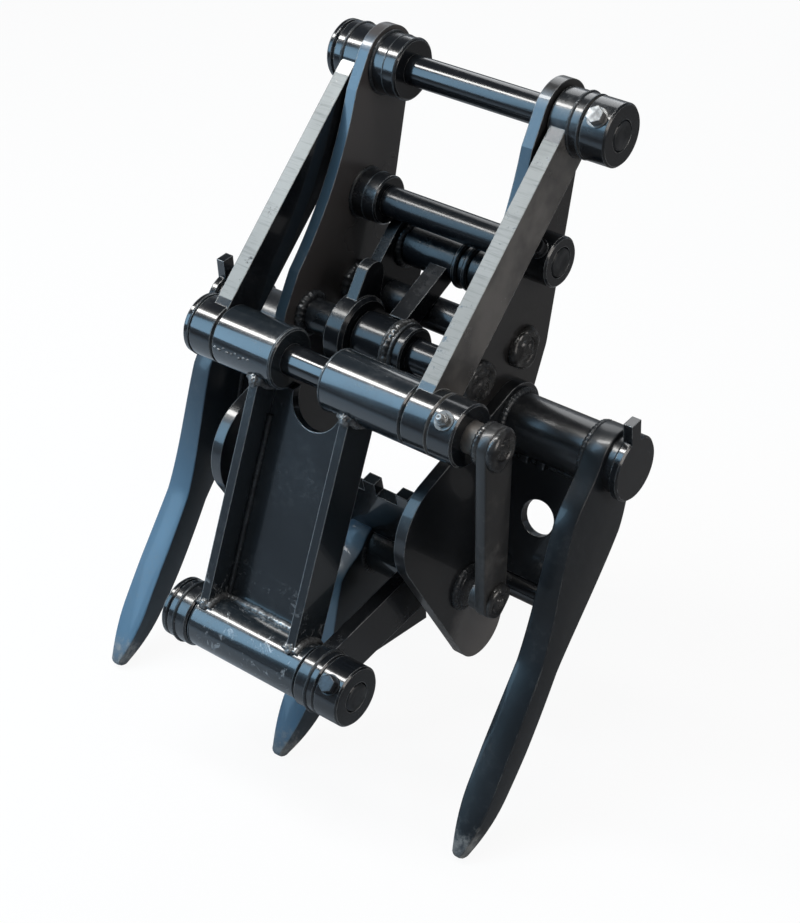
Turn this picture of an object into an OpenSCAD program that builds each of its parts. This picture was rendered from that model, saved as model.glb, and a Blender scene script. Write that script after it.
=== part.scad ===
/* [Pins] */
// Diameter of the hitch and jaw pins
pin_d = 25; // [20:1:32]
// Wall of the large bosses and collars round a pin
boss_wall = 12.5; // [9:0.5:16]
// Wall of the smaller bosses round the bucket link pin
link_boss_wall = 8; // [6:0.5:11]
// Length of a boss outside its plate
boss_len = 20; // [14:1:26]
// Length of a bolted pin collar
collar_len = 23; // [18:1:30]
// Thickness of the disc that heads a pin
head_t = 6; // [4:0.5:9]
// Thread diameter of the collar bolts
bolt_d = 8; // [6:1:12]

/* [Hitch] */
// Clear width between the two ears
dipper_gap = 158; // [140:2:180]
// Thickness of the ears and the side plates
plate_t = 10; // [8:0.5:13]
// Radius of the rounded top of an ear
ear_top_r = 30; // [28:1:36]
// Bucket link pin in front of the dipper pin
link_pin_fore = 38; // [34:1:42]
// Bucket link pin below the dipper pin
link_pin_drop = 100; // [96:1:108]
// How far the front edge of an ear is hollowed
ear_hollow = 9; // [4:1:14]

/* [Rocker] */
// Front pin in front of the dipper pin
front_pin_fore = 192; // [186:1:200]
// Front pin below the dipper pin
front_pin_drop = 158; // [150:1:164]
// Thickness of a rocker plate
rocker_t = 14; // [10:0.5:18]
// Width of a rocker plate
rocker_w = 40; // [32:1:44]
// Gap between an ear and the rocker plate beside it
rocker_gap = 4; // [3:0.5:8]
// Length of the front pin beyond its collar
stub_len = 26; // [18:1:34]
// Length of the side lever below the front pin
lever_len = 138; // [110:2:150]

/* [Front link] */
// Lower pin in front of the dipper pin
low_pin_fore = 292; // [286:1:300]
// Lower pin below the dipper pin
low_pin_drop = 362; // [354:1:370]
// Distance between the middles of the two link ribs
rib_pitch = 90; // [76:2:96]
// Depth of a link rib
rib_depth = 34; // [26:1:40]
// Thickness of the link ribs and plate
link_t = 8; // [6:0.5:12]
// Length of the tube that turns on the lower pin
low_tube_len = 112; // [108:2:124]
// Radius of the notch in the top edge of the link plate
notch_r = 24; // [16:1:28]

/* [Jaws] */
// Jaw pivot in front of the dipper pin
pivot_fore = 152; // [146:1:158]
// Jaw pivot below the dipper pin
pivot_drop = 350; // [344:1:356]
// Torque tube in front of the dipper pin
torque_fore = 80; // [74:1:86]
// Torque tube below the dipper pin
torque_drop = 228; // [220:1:236]
// Outer diameter of the torque tube
torque_d = 48; // [40:1:56]
// Length of the torque tube
torque_len = 404; // [380:2:440]
// Thickness of a tine
tine_t = 18; // [14:1:24]
// Width of a tine along its shank
tine_w = 27; // [22:1:34]
// Tine tips in front of the dipper pin
tip_fore = 280; // [272:2:290]
// Tine tips below the dipper pin
tip_drop = 486; // [470:2:500]
// Length of the torque tube outside each outer tine
tine_inset = 7; // [4:1:14]
// Diameter of the hole in a rear web
web_hole_d = 30; // [20:1:40]

/* [Hidden] */
$fn = 64;

// Clearances
fit = 0.05;
side = 0.5;
open_fit = 3.6;
over = 1;

// Places of the pins and tubes, forward and up from the dipper pin
dipper_at = [0, 0];
link_at = [-link_pin_fore, -link_pin_drop];
front_at = [-front_pin_fore, -front_pin_drop];
low_at = [-low_pin_fore, -low_pin_drop];
pivot_at = [-pivot_fore, -pivot_drop];
torque_at = [-torque_fore, -torque_drop];
tip_at = [-tip_fore, -tip_drop];

// Cross shafts between the ears
cross_d = 28;
cross_fore = 37;
cross_rise = 55;
rear_back = 22;
rear_rise = 52;
cross_at = torque_at + [-cross_fore, cross_rise];
rear_at = torque_at + [rear_back, rear_rise];
cross_head_d = 36;
cross_head_t = 7;
cross_edge_r = 30;
rear_edge_r = 36;
cross_boss_d = 44;

// Faces along the pins
ear_in = dipper_gap / 2;
ear_out = ear_in + plate_t;
rocker_in = ear_out + rocker_gap;
rocker_out = rocker_in + rocker_t;
boss_out = rocker_out + boss_len / 2;
boss_d = pin_d + 2 * boss_wall;
link_boss_d = pin_d + 2 * link_boss_wall;
bore_d = pin_d + 2 * fit;
inner_boss_len = 25;
chamfer = 1.5;

// Side plates that carry the jaw pivot
side_in = ear_out;
side_out = side_in + plate_t;
side_eye_wall = 7;
side_top_r = torque_d / 2 + side_eye_wall;
side_bulge_fore = 98;
side_bulge_drop = 44;
side_bulge_at = torque_at - [side_bulge_fore, side_bulge_drop];
side_bulge_r = 48;
side_foot_back = 18;
side_foot_drop = 54;
side_foot_at = pivot_at + [side_foot_back, -side_foot_drop];
side_foot_r = 29;

// Distance from one place to another, and the heading between them
function span(a, b) = norm(b - a);
function heading(a, b) = atan2(b.y - a.y, b.x - a.x);
function polar(r, angle) = [r * cos(angle), r * sin(angle)];
function part_way(a, b, share) = a + (b - a) * share;

// A place on a curve that leaves a, bends towards b and ends at c
function curve(a, b, c, share) =
    part_way(part_way(a, b, share), part_way(b, c, share), share);
function curve_heading(a, b, c, share) = heading(part_way(a, b, share), part_way(b, c, share));

// Lays a flat outline, drawn forward and up, across the part from one face
module across(face, thick) {
    translate([face, 0, 0]) rotate([90, 0, 90]) linear_extrude(thick) children();
}

// A round bar along the pins between two faces
module bar(at, d, from, to) {
    translate([from, at.x, at.y]) rotate([0, 90, 0]) cylinder(d = d, h = to - from);
}

// A round bar with chamfered ends
module chamfered_bar(at, d, from, to, cut) {
    translate([from, at.x, at.y]) rotate([0, 90, 0]) rotate_extrude()
        polygon([[0, 0], [d / 2 - cut, 0], [d / 2, cut], [d / 2, to - from - cut],
            [d / 2 - cut, to - from], [0, to - from]]);
}

// A tube along the pins between two faces
module sleeve(at, outer, inner, from, to) {
    difference() {
        chamfered_bar(at, outer, from, to, chamfer);
        bar(at, inner, from - over, to + over);
    }
}

// A plate with two round ends, its straight edges a hair inside their tangents
tuck = 0.1;
module strap(face, thick, a, ra, b, rb) {
    way = heading(a, b);
    lean = acos((ra - rb) / span(a, b));
    bar(a, 2 * ra, face, face + thick);
    bar(b, 2 * rb, face, face + thick);
    across(face, thick)
        polygon([a + polar(ra - tuck, way + lean), b + polar(rb - tuck, way + lean),
            b + polar(rb - tuck, way - lean), a + polar(ra - tuck, way - lean)]);
}

// The plate of an ear, hollowed along its front edge
module ear_blank(face) {
    lean = heading(dipper_at, cross_at);
    half = span(dipper_at, cross_at) / 2;
    reach = half * hollow_reach_share;
    hollow_r = (reach * reach + ear_hollow * ear_hollow) / (2 * ear_hollow);
    edge = (ear_top_r + cross_edge_r) / 2;
    middle = part_way(dipper_at, cross_at, hollow_middle_share);
    difference() {
        union() {
            strap(face, plate_t, dipper_at, ear_top_r, cross_at, cross_edge_r);
            strap(face, plate_t, dipper_at, ear_top_r, rear_at, rear_edge_r);
            strap(face, plate_t, cross_at, cross_edge_r, torque_at, side_top_r);
            strap(face, plate_t, rear_at, rear_edge_r, torque_at, side_top_r);
        }
        bar(middle + polar(edge + hollow_r - ear_hollow, lean - 90), 2 * hollow_r,
            face - over, face + plate_t + over);
    }
}
hollow_reach_share = 0.72;
hollow_middle_share = 0.5;

module ear(face) {
    difference() {
        ear_blank(face);
        bar(dipper_at, bore_d, face - over, face + plate_t + over);
        bar(link_at, bore_d, face - over, face + plate_t + over);
        bar(cross_at, cross_d, face - over, face + plate_t + over);
        bar(rear_at, cross_d, face - over, face + plate_t + over);
        bar(torque_at, torque_d, face - over, face + plate_t + over);
    }
}
module left_ear() { color("#1b1f24") ear(-ear_out); }
module right_ear() { color("#1b1f24") ear(ear_in); }

// Bosses welded inside the left ear and outside the right one
module ear_bosses() {
    color("#1b1f24") {
        sleeve(dipper_at, boss_d, bore_d, -ear_in, -ear_in + inner_boss_len);
        sleeve(link_at, link_boss_d, bore_d, -ear_in, -ear_in + inner_boss_len);
    }
}

// Pins headed by a disc on the left and bolted through a collar on the right
module headed_pin(at, left, right, head_d, bolt_at) {
    difference() {
        union() {
            chamfered_bar(at, pin_d, left, right, chamfer);
            chamfered_bar(at, head_d, left - head_t, left, chamfer);
        }
        bolt_hole(at, bolt_at, head_d);
    }
}

// The hole that a collar bolt passes, square to the pin
module bolt_hole(at, where, long) {
    translate([where, at.x, at.y]) rotate([bolt_lean, 0, 0])
        cylinder(d = bolt_d, h = long + over, center = true);
}
bolt_lean = 40;

module collar(at, d, from) {
    difference() {
        sleeve(at, d, pin_d, from, from + collar_len);
        bolt_hole(at, from + collar_len / 2, d);
    }
}

// A hexagon bolt and nut through a collar
module collar_bolt(at, d, where) {
    grip = d / 2 - bolt_seat;
    translate([where, at.x, at.y]) rotate([bolt_lean, 0, 0]) {
        translate([0, 0, -grip]) cylinder(d = bolt_d, h = 2 * grip);
        translate([0, 0, grip]) cylinder(d = bolt_head_d, h = bolt_head_t, $fn = 6);
        translate([0, 0, -grip - bolt_head_t]) cylinder(d = bolt_head_d, h = bolt_head_t, $fn = 6);
    }
}
bolt_seat = -0.3;
bolt_head_d = bolt_d * 13 / 8;
bolt_head_t = bolt_d * 2 / 3;

dipper_collar_at = boss_out + side;
module dipper_pin() {
    color("#23272c")
        headed_pin(dipper_at, -boss_out - side, dipper_collar_at + collar_len, boss_d,
            dipper_collar_at + collar_len / 2);
}
module dipper_pin_collar() { color("#1b1f24") collar(dipper_at, boss_d, dipper_collar_at); }

link_head_t = rocker_gap - 2 * side;
module link_pin() {
    color("#23272c") difference() {
        union() {
            chamfered_bar(link_at, pin_d, -ear_out - link_head_t, ear_out + collar_len, chamfer);
            bar(link_at, link_boss_d, -ear_out - link_head_t, -ear_out);
        }
        bolt_hole(link_at, ear_out + collar_len / 2, link_boss_d);
    }
}
module link_pin_collar() { color("#1b1f24") collar(link_at, link_boss_d, ear_out); }

module rear_collar_bolts() {
    color("#6b6e70") {
        collar_bolt(dipper_at, boss_d, dipper_collar_at + collar_len / 2);
        collar_bolt(link_at, link_boss_d, ear_out + collar_len / 2);
    }
}

// Cross shafts welded through both ears
module front_cross_shaft() { color("#23272c") bar(cross_at, cross_d, -ear_out, ear_out); }
module rear_cross_shaft() { color("#23272c") bar(rear_at, cross_d, -ear_out, ear_out); }

disc_at = -31;
disc_t = 20;
disc_d = 62;
sleeve_end = 12;
ring_t = 9;
module stop_disc() {
    color("#15181b") difference() {
        union() {
            chamfered_bar(cross_at, disc_d, disc_at - disc_t / 2, disc_at + disc_t / 2, 2 * chamfer);
            strap(disc_at - disc_t / 4, disc_t / 2, cross_at, disc_d / 3,
                cross_at + polar(disc_d * 3 / 4, nose_heading), disc_d / 5);
        }
        bar(cross_at, cross_d, disc_at - disc_t, disc_at + disc_t);
    }
}
nose_heading = 62;

module cross_sleeve() {
    color("#1b1f24") {
        sleeve(cross_at, cross_boss_d - chamfer * 2, cross_d, disc_at + disc_t / 2, sleeve_end);
        sleeve(cross_at, cross_boss_d, cross_d, sleeve_end + ring_t, sleeve_end + 2 * ring_t);
    }
}

// Rough plug welds that close the shaft holes on the outer faces of the ears
module weld_plug(at, face, reach) {
    translate([face, at.x, at.y]) rotate([0, 90, 0]) rotate_extrude()
        polygon([[0, 0], [cross_head_d / 2, 0], [cross_head_d / 2 - chamfer, reach * 2 / 3],
            [cross_head_d / 3, reach], [0, reach]]);
}
module cross_shaft_welds() {
    color("#3a3d40") {
        weld_plug(cross_at, ear_out, cross_head_t);
        weld_plug(rear_at, ear_out, cross_head_t);
        mirror([1, 0, 0]) weld_plug(cross_at, ear_out, cross_head_t);
        mirror([1, 0, 0]) weld_plug(rear_at, ear_out, cross_head_t);
    }
}

// The hanger behind the bucket link pin
hanger_d = 34;
hanger_bore_d = 20;
hanger_back = 28;
hanger_rise = 36;
hanger_at = rear_at + [hanger_back, hanger_rise];
cheek_at = -42;
cheek_t = 10;
hanger_bar_w = 16;
hanger_bar_at = -8;
hanger_ring_d = 40;
hanger_ring_t = 5;
module hanger_tube() {
    color("#1b1f24") sleeve(hanger_at, hanger_d, hanger_bore_d, cheek_at, ear_in);
}
module hanger_cheek() {
    color("#1b1f24") difference() {
        strap(cheek_at - cheek_t, cheek_t, hanger_at, hanger_d * 3 / 4, rear_at, rear_edge_r);
        bar(rear_at, cross_d, cheek_at - 2 * cheek_t, cheek_at + cheek_t);
        bar(torque_at, torque_d, cheek_at - 2 * cheek_t, cheek_at + cheek_t);
        bar(hanger_at, hanger_bore_d, cheek_at - 2 * cheek_t, cheek_at + cheek_t);
    }
}
module hanger_bar() {
    color("#1b1f24") difference() {
        strap(hanger_bar_at, hanger_bar_w, hanger_at, hanger_d / 4, cross_at, hanger_d / 4);
        bar(hanger_at, hanger_d, hanger_bar_at - over, hanger_bar_at + hanger_bar_w + over);
        bar(cross_at, hanger_seat_d, hanger_bar_at - over, hanger_bar_at + hanger_bar_w + over);
    }
}
hanger_seat_d = cross_boss_d;
module hanger_rings() {
    color("#23272c") for (step = [1, 3])
        sleeve(hanger_at, hanger_ring_d, hanger_d, hanger_bar_at + hanger_bar_w + step * hanger_ring_t,
            hanger_bar_at + hanger_bar_w + (step + 1) * hanger_ring_t);
}

// The torque tube that carries the rear jaw
torque_wall = 6;
torque_end = torque_len / 2;
cap_t = 8;
cap_d = torque_d + torque_wall;
tab_w = 12;
tab_h = 16;
module torque_tube() {
    color("#1b1f24") difference() {
        bar(torque_at, torque_d, -torque_end, torque_end);
        bar(torque_at, torque_d - 2 * torque_wall, -torque_end - over, torque_end + over);
    }
}
module torque_cap() {
    chamfered_bar(torque_at, cap_d, torque_end, torque_end + cap_t, chamfer);
    translate([torque_end, torque_at.x - tab_w / 2, torque_at.y + cap_d / 3])
        cube([cap_t, tab_w, tab_h + cap_d / 6]);
}
module torque_tube_caps() {
    color("#1b1f24") {
        torque_cap();
        mirror([1, 0, 0]) torque_cap();
    }
}

// Side plates with a bulged front edge and a rounded foot
module side_plate() {
    difference() {
        union() {
            strap(side_in, plate_t, torque_at, side_top_r, side_bulge_at, side_bulge_r);
            strap(side_in, plate_t, side_bulge_at, side_bulge_r, side_foot_at, side_foot_r);
            strap(side_in, plate_t, torque_at, side_top_r, side_foot_at, side_foot_r);
        }
        bar(torque_at, torque_d, side_in - over, side_out + over);
        bar(pivot_at, pin_d, side_in - over, side_out + over);
    }
}
module left_side_plate() { color("#1b1f24") mirror([1, 0, 0]) side_plate(); }
module right_side_plate() { color("#1b1f24") side_plate(); }

// The blade of a tine, which bends forward and narrows to a blunt point
tine_steps = 18;
tine_eye_wall = 4;
root_w = tine_w * 14 / 5;
point_w = tine_w / 2;
root_at_share = 1 / 6;
shank_from_share = 0.5;
taper_from_share = 0.85;
function blend(share, from_share, to_share, a, b) =
    a + (b - a) * (share - from_share) / (to_share - from_share);
function tine_half(share, eye_r) =
    share < root_at_share ? blend(share, 0, root_at_share, eye_r, root_w / 2)
        : share < shank_from_share ? blend(share, root_at_share, shank_from_share, root_w / 2, tine_w / 2)
        : share < taper_from_share ? tine_w / 2
        : blend(share, taper_from_share, 1, tine_w / 2, point_w / 2);
function tine_edge(a, b, c, eye_r, side_sign) = [for (step = [0 : tine_steps])
    let (share = step / tine_steps)
    curve(a, b, c, share)
        + polar(tine_half(share, eye_r) * side_sign, curve_heading(a, b, c, share) + 90)];
function half_round(middle, r, from) = [for (step = [1 : tine_steps - 1])
    middle + polar(r, from + step * 180 / tine_steps)];
module tine_outline(a, b, c, eye_r) {
    lower = tine_edge(a, b, c, eye_r, -1);
    upper = tine_edge(a, b, c, eye_r, 1);
    polygon(concat(lower, half_round(c, point_w / 2, heading(b, c) - 90),
        [for (step = [tine_steps : -1 : 0]) upper[step]],
        half_round(a, eye_r, heading(a, b) + 90)));
}

// The rear jaw: two outer tines on the torque tube
tine_face = torque_end - tine_inset - tine_t;
rear_bend_ahead_share = 0.43;
rear_bend_down_share = 0.56;
rear_bend_at = [torque_at.x + (tip_at.x - torque_at.x) * rear_bend_ahead_share,
    torque_at.y + (tip_at.y - torque_at.y) * rear_bend_down_share];
module rear_tine() {
    difference() {
        across(tine_face, tine_t)
            tine_outline(torque_at, rear_bend_at, tip_at, torque_d / 2 + tine_eye_wall);
        bar(torque_at, torque_d, tine_face - over, tine_face + tine_t + over);
    }
}
module left_tine() { color("#2b3a48") mirror([1, 0, 0]) rear_tine(); }
module right_tine() { color("#2b3a48") rear_tine(); }

// Webs between the side plates and the outer tines
web_t = 8;
web_h = 106;
web_lean = -20;
module rear_web() {
    translate([side_out, torque_at.x, torque_at.y]) rotate([web_lean, 0, 0]) difference() {
        translate([0, -web_t / 2, -torque_d / 3 - web_h]) cube([tine_face - side_out, web_t, web_h]);
        translate([(tine_face - side_out) / 2, 0, -torque_d / 3 - web_h / 2]) rotate([90, 0, 0])
            cylinder(d = web_hole_d, h = web_t * 2, center = true);
        rotate([0, 90, 0]) cylinder(d = torque_d, h = tine_face);
    }
}
module left_web() { color("#1b1f24") mirror([1, 0, 0]) rear_web(); }
module right_web() { color("#1b1f24") rear_web(); }

// Bars that brace the tines to the side plates below the webs
brace_d = 20;
brace_at = torque_at + polar(torque_d / 3 + web_h + brace_d / 2, web_lean - 90);
module brace_bars() {
    color("#1b1f24") {
        bar(brace_at, brace_d, side_out, tine_face);
        mirror([1, 0, 0]) bar(brace_at, brace_d, side_out, tine_face);
    }
}

// The fixed shaft that the front jaw turns on
pivot_head_d = 32;
module jaw_pivot_shaft() { color("#23272c") bar(pivot_at, pin_d, -side_out, side_out); }
module pivot_end_discs() {
    color("#3a3d40") {
        chamfered_bar(pivot_at, pivot_head_d, side_out, side_out + head_t, chamfer);
        mirror([1, 0, 0]) chamfered_bar(pivot_at, pivot_head_d, side_out, side_out + head_t, chamfer);
    }
}

// Rocker plates, each with a boss on the dipper pin and one on the front pin
rocker_boss_in = ear_out + side;
front_boss_in = rocker_in;
module rocker_half(pin_bore_d) {
    difference() {
        union() {
            strap(rocker_in, rocker_t, dipper_at, rocker_w / 2, front_at, rocker_w / 2);
            chamfered_bar(dipper_at, boss_d, rocker_boss_in, boss_out, chamfer);
            chamfered_bar(front_at, boss_d, front_boss_in, boss_out, chamfer);
        }
        bar(dipper_at, bore_d, rocker_boss_in - over, boss_out + over);
        bar(front_at, pin_bore_d, front_boss_in - over, boss_out + over);
    }
}
module left_rocker_plate() { color("#8d959b") mirror([1, 0, 0]) rocker_half(pin_d); }
module right_rocker_plate() { color("#8d959b") rocker_half(pin_d); }

front_collar_at = boss_out;
front_end = front_collar_at + collar_len + stub_len;
module front_pin() {
    color("#23272c") {
        chamfered_bar(front_at, pin_d, -boss_out, front_end, chamfer);
        chamfered_bar(front_at, boss_d, -boss_out - head_t, -boss_out, chamfer);
    }
}
nipple_stem_d = 5;
module nipple_bar(d, from, to) {
    translate([front_collar_at + collar_len / 2, front_at.x, front_at.y])
        rotate([bolt_lean, 0, 0]) translate([0, 0, from]) cylinder(d = d, h = to - from);
}
module front_pin_collar() {
    color("#1b1f24") difference() {
        sleeve(front_at, boss_d, pin_d, front_collar_at, front_collar_at + collar_len);
        nipple_bar(nipple_stem_d, 0, boss_d);
    }
}

// The lever welded to the right end of the front pin
lever_w = 34;
lever_heading = -94;
lever_foot_at = front_at + polar(lever_len, lever_heading);
lever_in = front_end - plate_t;
module side_lever() {
    color("#2a2d30") difference() {
        union() {
            strap(lever_in, plate_t, front_at, lever_w / 2, lever_foot_at, lever_w / 2);
            chamfered_bar(lever_foot_at, cross_head_d, lever_in - head_t, front_end + head_t, chamfer);
        }
        bar(front_at, pin_d, lever_in - over, front_end + over);
    }
}

// The grease nipple on the front pin collar
nipple_d = 10;
nipple_h = 9;
module grease_nipple() {
    base = boss_d / 2 + side;
    color("#6b6e70") {
        nipple_bar(nipple_stem_d, pin_d / 2 + side, base + nipple_h);
        nipple_bar(nipple_d, base, base + nipple_h / 2, $fn = 6);
    }
}

// The front link: two tubes on the front pin, two ribs, a plate and a lower tube
tube_end = rocker_in - side;
tube_gap_left = -32;
tube_gap_right = 14;
link_heading = heading(front_at, low_at);
low_tube_d = 46;
rib_middle = -4;
low_bore_d = pin_d + 2 * open_fit;
module left_link_tube() { color("#2d3842") sleeve(front_at, boss_d, bore_d, -tube_end, tube_gap_left); }
module right_link_tube() { color("#2d3842") sleeve(front_at, boss_d, bore_d, tube_gap_right, tube_end); }
module lower_link_tube() {
    color("#2d3842") sleeve(low_at, low_tube_d, low_bore_d, -low_tube_len / 2, low_tube_len / 2);
}
module link_rib(middle) {
    difference() {
        strap(middle - link_t / 2, link_t, front_at, rib_depth / 2, low_at, rib_depth / 2);
        bar(front_at, boss_d, middle - link_t, middle + link_t);
        bar(low_at, low_tube_d, middle - link_t, middle + link_t);
    }
}
module left_link_rib() { color("#3d4a56") link_rib(rib_middle - rib_pitch / 2); }
module right_link_rib() { color("#3d4a56") link_rib(rib_middle + rib_pitch / 2); }

// The plate lies between the ribs, with a round notch in its top edge
link_inset = rib_depth / 2 - link_t / 4;
module link_plate() {
    from = rib_middle - rib_pitch / 2 + link_t / 2;
    wide = rib_pitch - link_t;
    long = span(front_at, low_at);
    color("#2d3842") difference() {
        translate([from, front_at.x, front_at.y]) rotate([link_heading, 0, 0])
            translate([0, boss_d / 4, link_inset - link_t])
                cube([wide, long - boss_d / 4, link_t]);
        bar(front_at, boss_d, from - over, from + wide + over);
        bar(low_at, low_tube_d, from - over, from + wide + over);
        translate([from + wide / 2, front_at.x, front_at.y]) rotate([link_heading, 0, 0])
            translate([0, boss_d / 2, 0]) cylinder(r = notch_r, h = boss_d, center = true);
    }
}

// The front jaw: a tube on the pivot shaft, two arms, a web and the middle tine
jaw_tube_d = 42;
jaw_tube_end = side_in - side;
arm_in = low_tube_len / 2 + side;
arm_boss_out = arm_in + boss_len;
arm_t = 12;
arm_w = 40;
module jaw_tube() { color("#2b3a48") sleeve(pivot_at, jaw_tube_d, bore_d, -jaw_tube_end, jaw_tube_end); }
module arm() {
    difference() {
        union() {
            strap(arm_in, arm_t, pivot_at, arm_w / 2 + chamfer, low_at, arm_w / 2);
            chamfered_bar(low_at, boss_d, arm_in, arm_boss_out, chamfer);
        }
        bar(pivot_at, jaw_tube_d, arm_in - over, arm_in + arm_t + over);
        bar(low_at, pin_d, arm_in - over, arm_boss_out + over);
    }
}
module left_arm() { color("#1b1f24") mirror([1, 0, 0]) arm(); }
module right_arm() { color("#1b1f24") arm(); }

module lower_pin() {
    color("#23272c") headed_pin(low_at, -arm_boss_out, arm_boss_out + collar_len, boss_d,
        arm_boss_out + collar_len / 2);
}
module lower_pin_collar() { color("#1b1f24") collar(low_at, boss_d, arm_boss_out); }
module lower_collar_bolt() { color("#6b6e70") collar_bolt(low_at, boss_d, arm_boss_out + collar_len / 2); }

// The web stands on the jaw tube between the arms, with teeth along its top
jaw_web_t = 10;
jaw_web_h = 68;
jaw_web_lean = 8;
tooth_w = 12;
tooth_h = 12;
tooth_count = 4;
module jaw_web() {
    color("#2d3842") difference() {
        translate([-arm_in, pivot_at.x, pivot_at.y]) rotate([jaw_web_lean, 0, 0]) {
            translate([0, -jaw_web_t / 2, 0]) cube([2 * arm_in, jaw_web_t, jaw_web_h]);
            for (step = [0 : tooth_count - 1])
                translate([step * (2 * arm_in - tooth_w) / (tooth_count - 1), -jaw_web_t / 2, jaw_web_h])
                    cube([tooth_w, jaw_web_t, tooth_h]);
        }
        bar(pivot_at, jaw_tube_d, -arm_in - over, arm_in + over);
        bar(pivot_at, jaw_tube_d + 2 * tine_eye_wall, -tine_t / 2, tine_t / 2);
    }
}

// Gussets between the arms and the jaw tube
gusset_t = 8;
gusset_h = 56;
gusset_reach_share = 0.66;
module arm_gusset() {
    difference() {
        across(arm_in - gusset_t, gusset_t)
            polygon([pivot_at, part_way(pivot_at, low_at, gusset_reach_share),
                part_way(pivot_at, low_at, gusset_reach_share * 3 / 4) - [0, gusset_h * 2 / 3],
                pivot_at - [0, gusset_h]]);
        bar(pivot_at, jaw_tube_d, arm_in - 2 * gusset_t, arm_in + gusset_t);
    }
}
module arm_gussets() {
    color("#1b1f24") {
        arm_gusset();
        mirror([1, 0, 0]) arm_gusset();
    }
}

middle_bend_share = 0.5;
middle_bend_drop = 16;
middle_bend_at = part_way(pivot_at, tip_at, middle_bend_share) - [0, middle_bend_drop];
module middle_tine() {
    color("#2b3a48") difference() {
        across(-tine_t / 2, tine_t)
            tine_outline(pivot_at, middle_bend_at, tip_at, jaw_tube_d / 2 + tine_eye_wall);
        bar(pivot_at, jaw_tube_d, -tine_t, tine_t);
    }
}

left_ear();
right_ear();
ear_bosses();
dipper_pin();
dipper_pin_collar();
link_pin();
link_pin_collar();
front_cross_shaft();
stop_disc();
cross_sleeve();
rear_cross_shaft();
cross_shaft_welds();
hanger_tube();
hanger_cheek();
hanger_bar();
hanger_rings();
torque_tube();
torque_tube_caps();
left_side_plate();
right_side_plate();
left_tine();
right_tine();
left_web();
right_web();
brace_bars();
jaw_pivot_shaft();
pivot_end_discs();
rear_collar_bolts();
left_rocker_plate();
right_rocker_plate();
front_pin();
front_pin_collar();
side_lever();
grease_nipple();
left_link_tube();
right_link_tube();
left_link_rib();
right_link_rib();
link_plate();
lower_link_tube();
jaw_tube();
left_arm();
right_arm();
jaw_web();
arm_gussets();
middle_tine();
lower_pin();
lower_pin_collar();
lower_collar_bolt();
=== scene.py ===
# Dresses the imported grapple: paint, worn edges, weld beads, bolts, floor, lamps and camera.
import math

import bmesh
import bpy
from mathutils import Matrix, Vector, noise


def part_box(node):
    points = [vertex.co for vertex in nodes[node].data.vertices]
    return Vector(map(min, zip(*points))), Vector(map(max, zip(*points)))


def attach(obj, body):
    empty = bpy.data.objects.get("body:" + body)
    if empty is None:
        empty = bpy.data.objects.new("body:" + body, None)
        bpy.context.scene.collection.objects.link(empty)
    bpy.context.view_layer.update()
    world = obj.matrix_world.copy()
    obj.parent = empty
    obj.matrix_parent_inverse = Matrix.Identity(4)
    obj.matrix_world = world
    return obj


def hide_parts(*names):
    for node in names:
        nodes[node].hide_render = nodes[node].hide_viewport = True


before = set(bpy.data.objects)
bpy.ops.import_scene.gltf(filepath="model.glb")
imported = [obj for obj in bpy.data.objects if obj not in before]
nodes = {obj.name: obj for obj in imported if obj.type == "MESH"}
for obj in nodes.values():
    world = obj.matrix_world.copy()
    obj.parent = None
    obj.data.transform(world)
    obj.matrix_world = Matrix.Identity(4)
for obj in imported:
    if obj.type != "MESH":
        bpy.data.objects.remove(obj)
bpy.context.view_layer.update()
print("frame loaded,", len(nodes), "nodes")


# Sizes and places that the frame gives

def faceOf(node, side):
    # where a node begins or ends along the pins
    return round(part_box(node)[0 if side < 0 else 1].x, 5)


def centreOf(node):
    return (faceOf(node, -1) + faceOf(node, 1)) / 2


def middleOf(node):
    # the line along the pins that a round node is turned about, forward and up
    low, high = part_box(node)
    return round((low.y + high.y) / 2, 5), round((low.z + high.z) / 2, 5)


def radiusOf(node):
    low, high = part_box(node)
    return round((high.z - low.z) / 2, 4)


carriers = {"dipper": "dipper_pin", "link": "link_pin", "front": "left_link_tube", "low": "lower_link_tube",
            "pivot": "jaw_pivot_shaft", "torque": "torque_tube", "crossFront": "front_cross_shaft",
            "crossRear": "rear_cross_shaft", "hanger": "hanger_rings", "brace": "brace_bars"}
places = {place: middleOf(node) for place, node in carriers.items()}
places["tip"] = (-0.280, -0.486)  # where the three tines meet
places["leverFoot"] = (-0.2016, -0.2957)
places["sideFoot"] = (-0.134, -0.404)
earIn, earOut = faceOf("right_ear", -1), faceOf("right_ear", 1)
sideOut, tineIn = faceOf("right_side_plate", 1), faceOf("right_tine", -1)
ribs = ("left_link_rib", "right_link_rib")


# Shader helpers

def addNode(tree, kind, **values):
    node = tree.nodes.new(kind)
    for name, value in values.items():
        setattr(node, name, value)
    return node


def mathNode(tree, operation, a, b, clamp=False):
    node = addNode(tree, "ShaderNodeMath", operation=operation, use_clamp=clamp)
    for socket, value in zip(node.inputs, (a, b)):
        if isinstance(value, (int, float)):
            socket.default_value = value
        else:
            tree.links.new(value, socket)
    return node.outputs[0]


def timesNode(tree, a, b):
    return mathNode(tree, "MULTIPLY", a, b)


def rangeNode(tree, value, fromLow, fromHigh, toLow=0.0, toHigh=1.0):
    node = addNode(tree, "ShaderNodeMapRange", interpolation_type="SMOOTHSTEP")
    tree.links.new(value, node.inputs["Value"])
    numbers = {"From Min": fromLow, "From Max": fromHigh, "To Min": toLow, "To Max": toHigh}
    for name, number in numbers.items():
        node.inputs[name].default_value = number
    return node.outputs[0]


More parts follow.
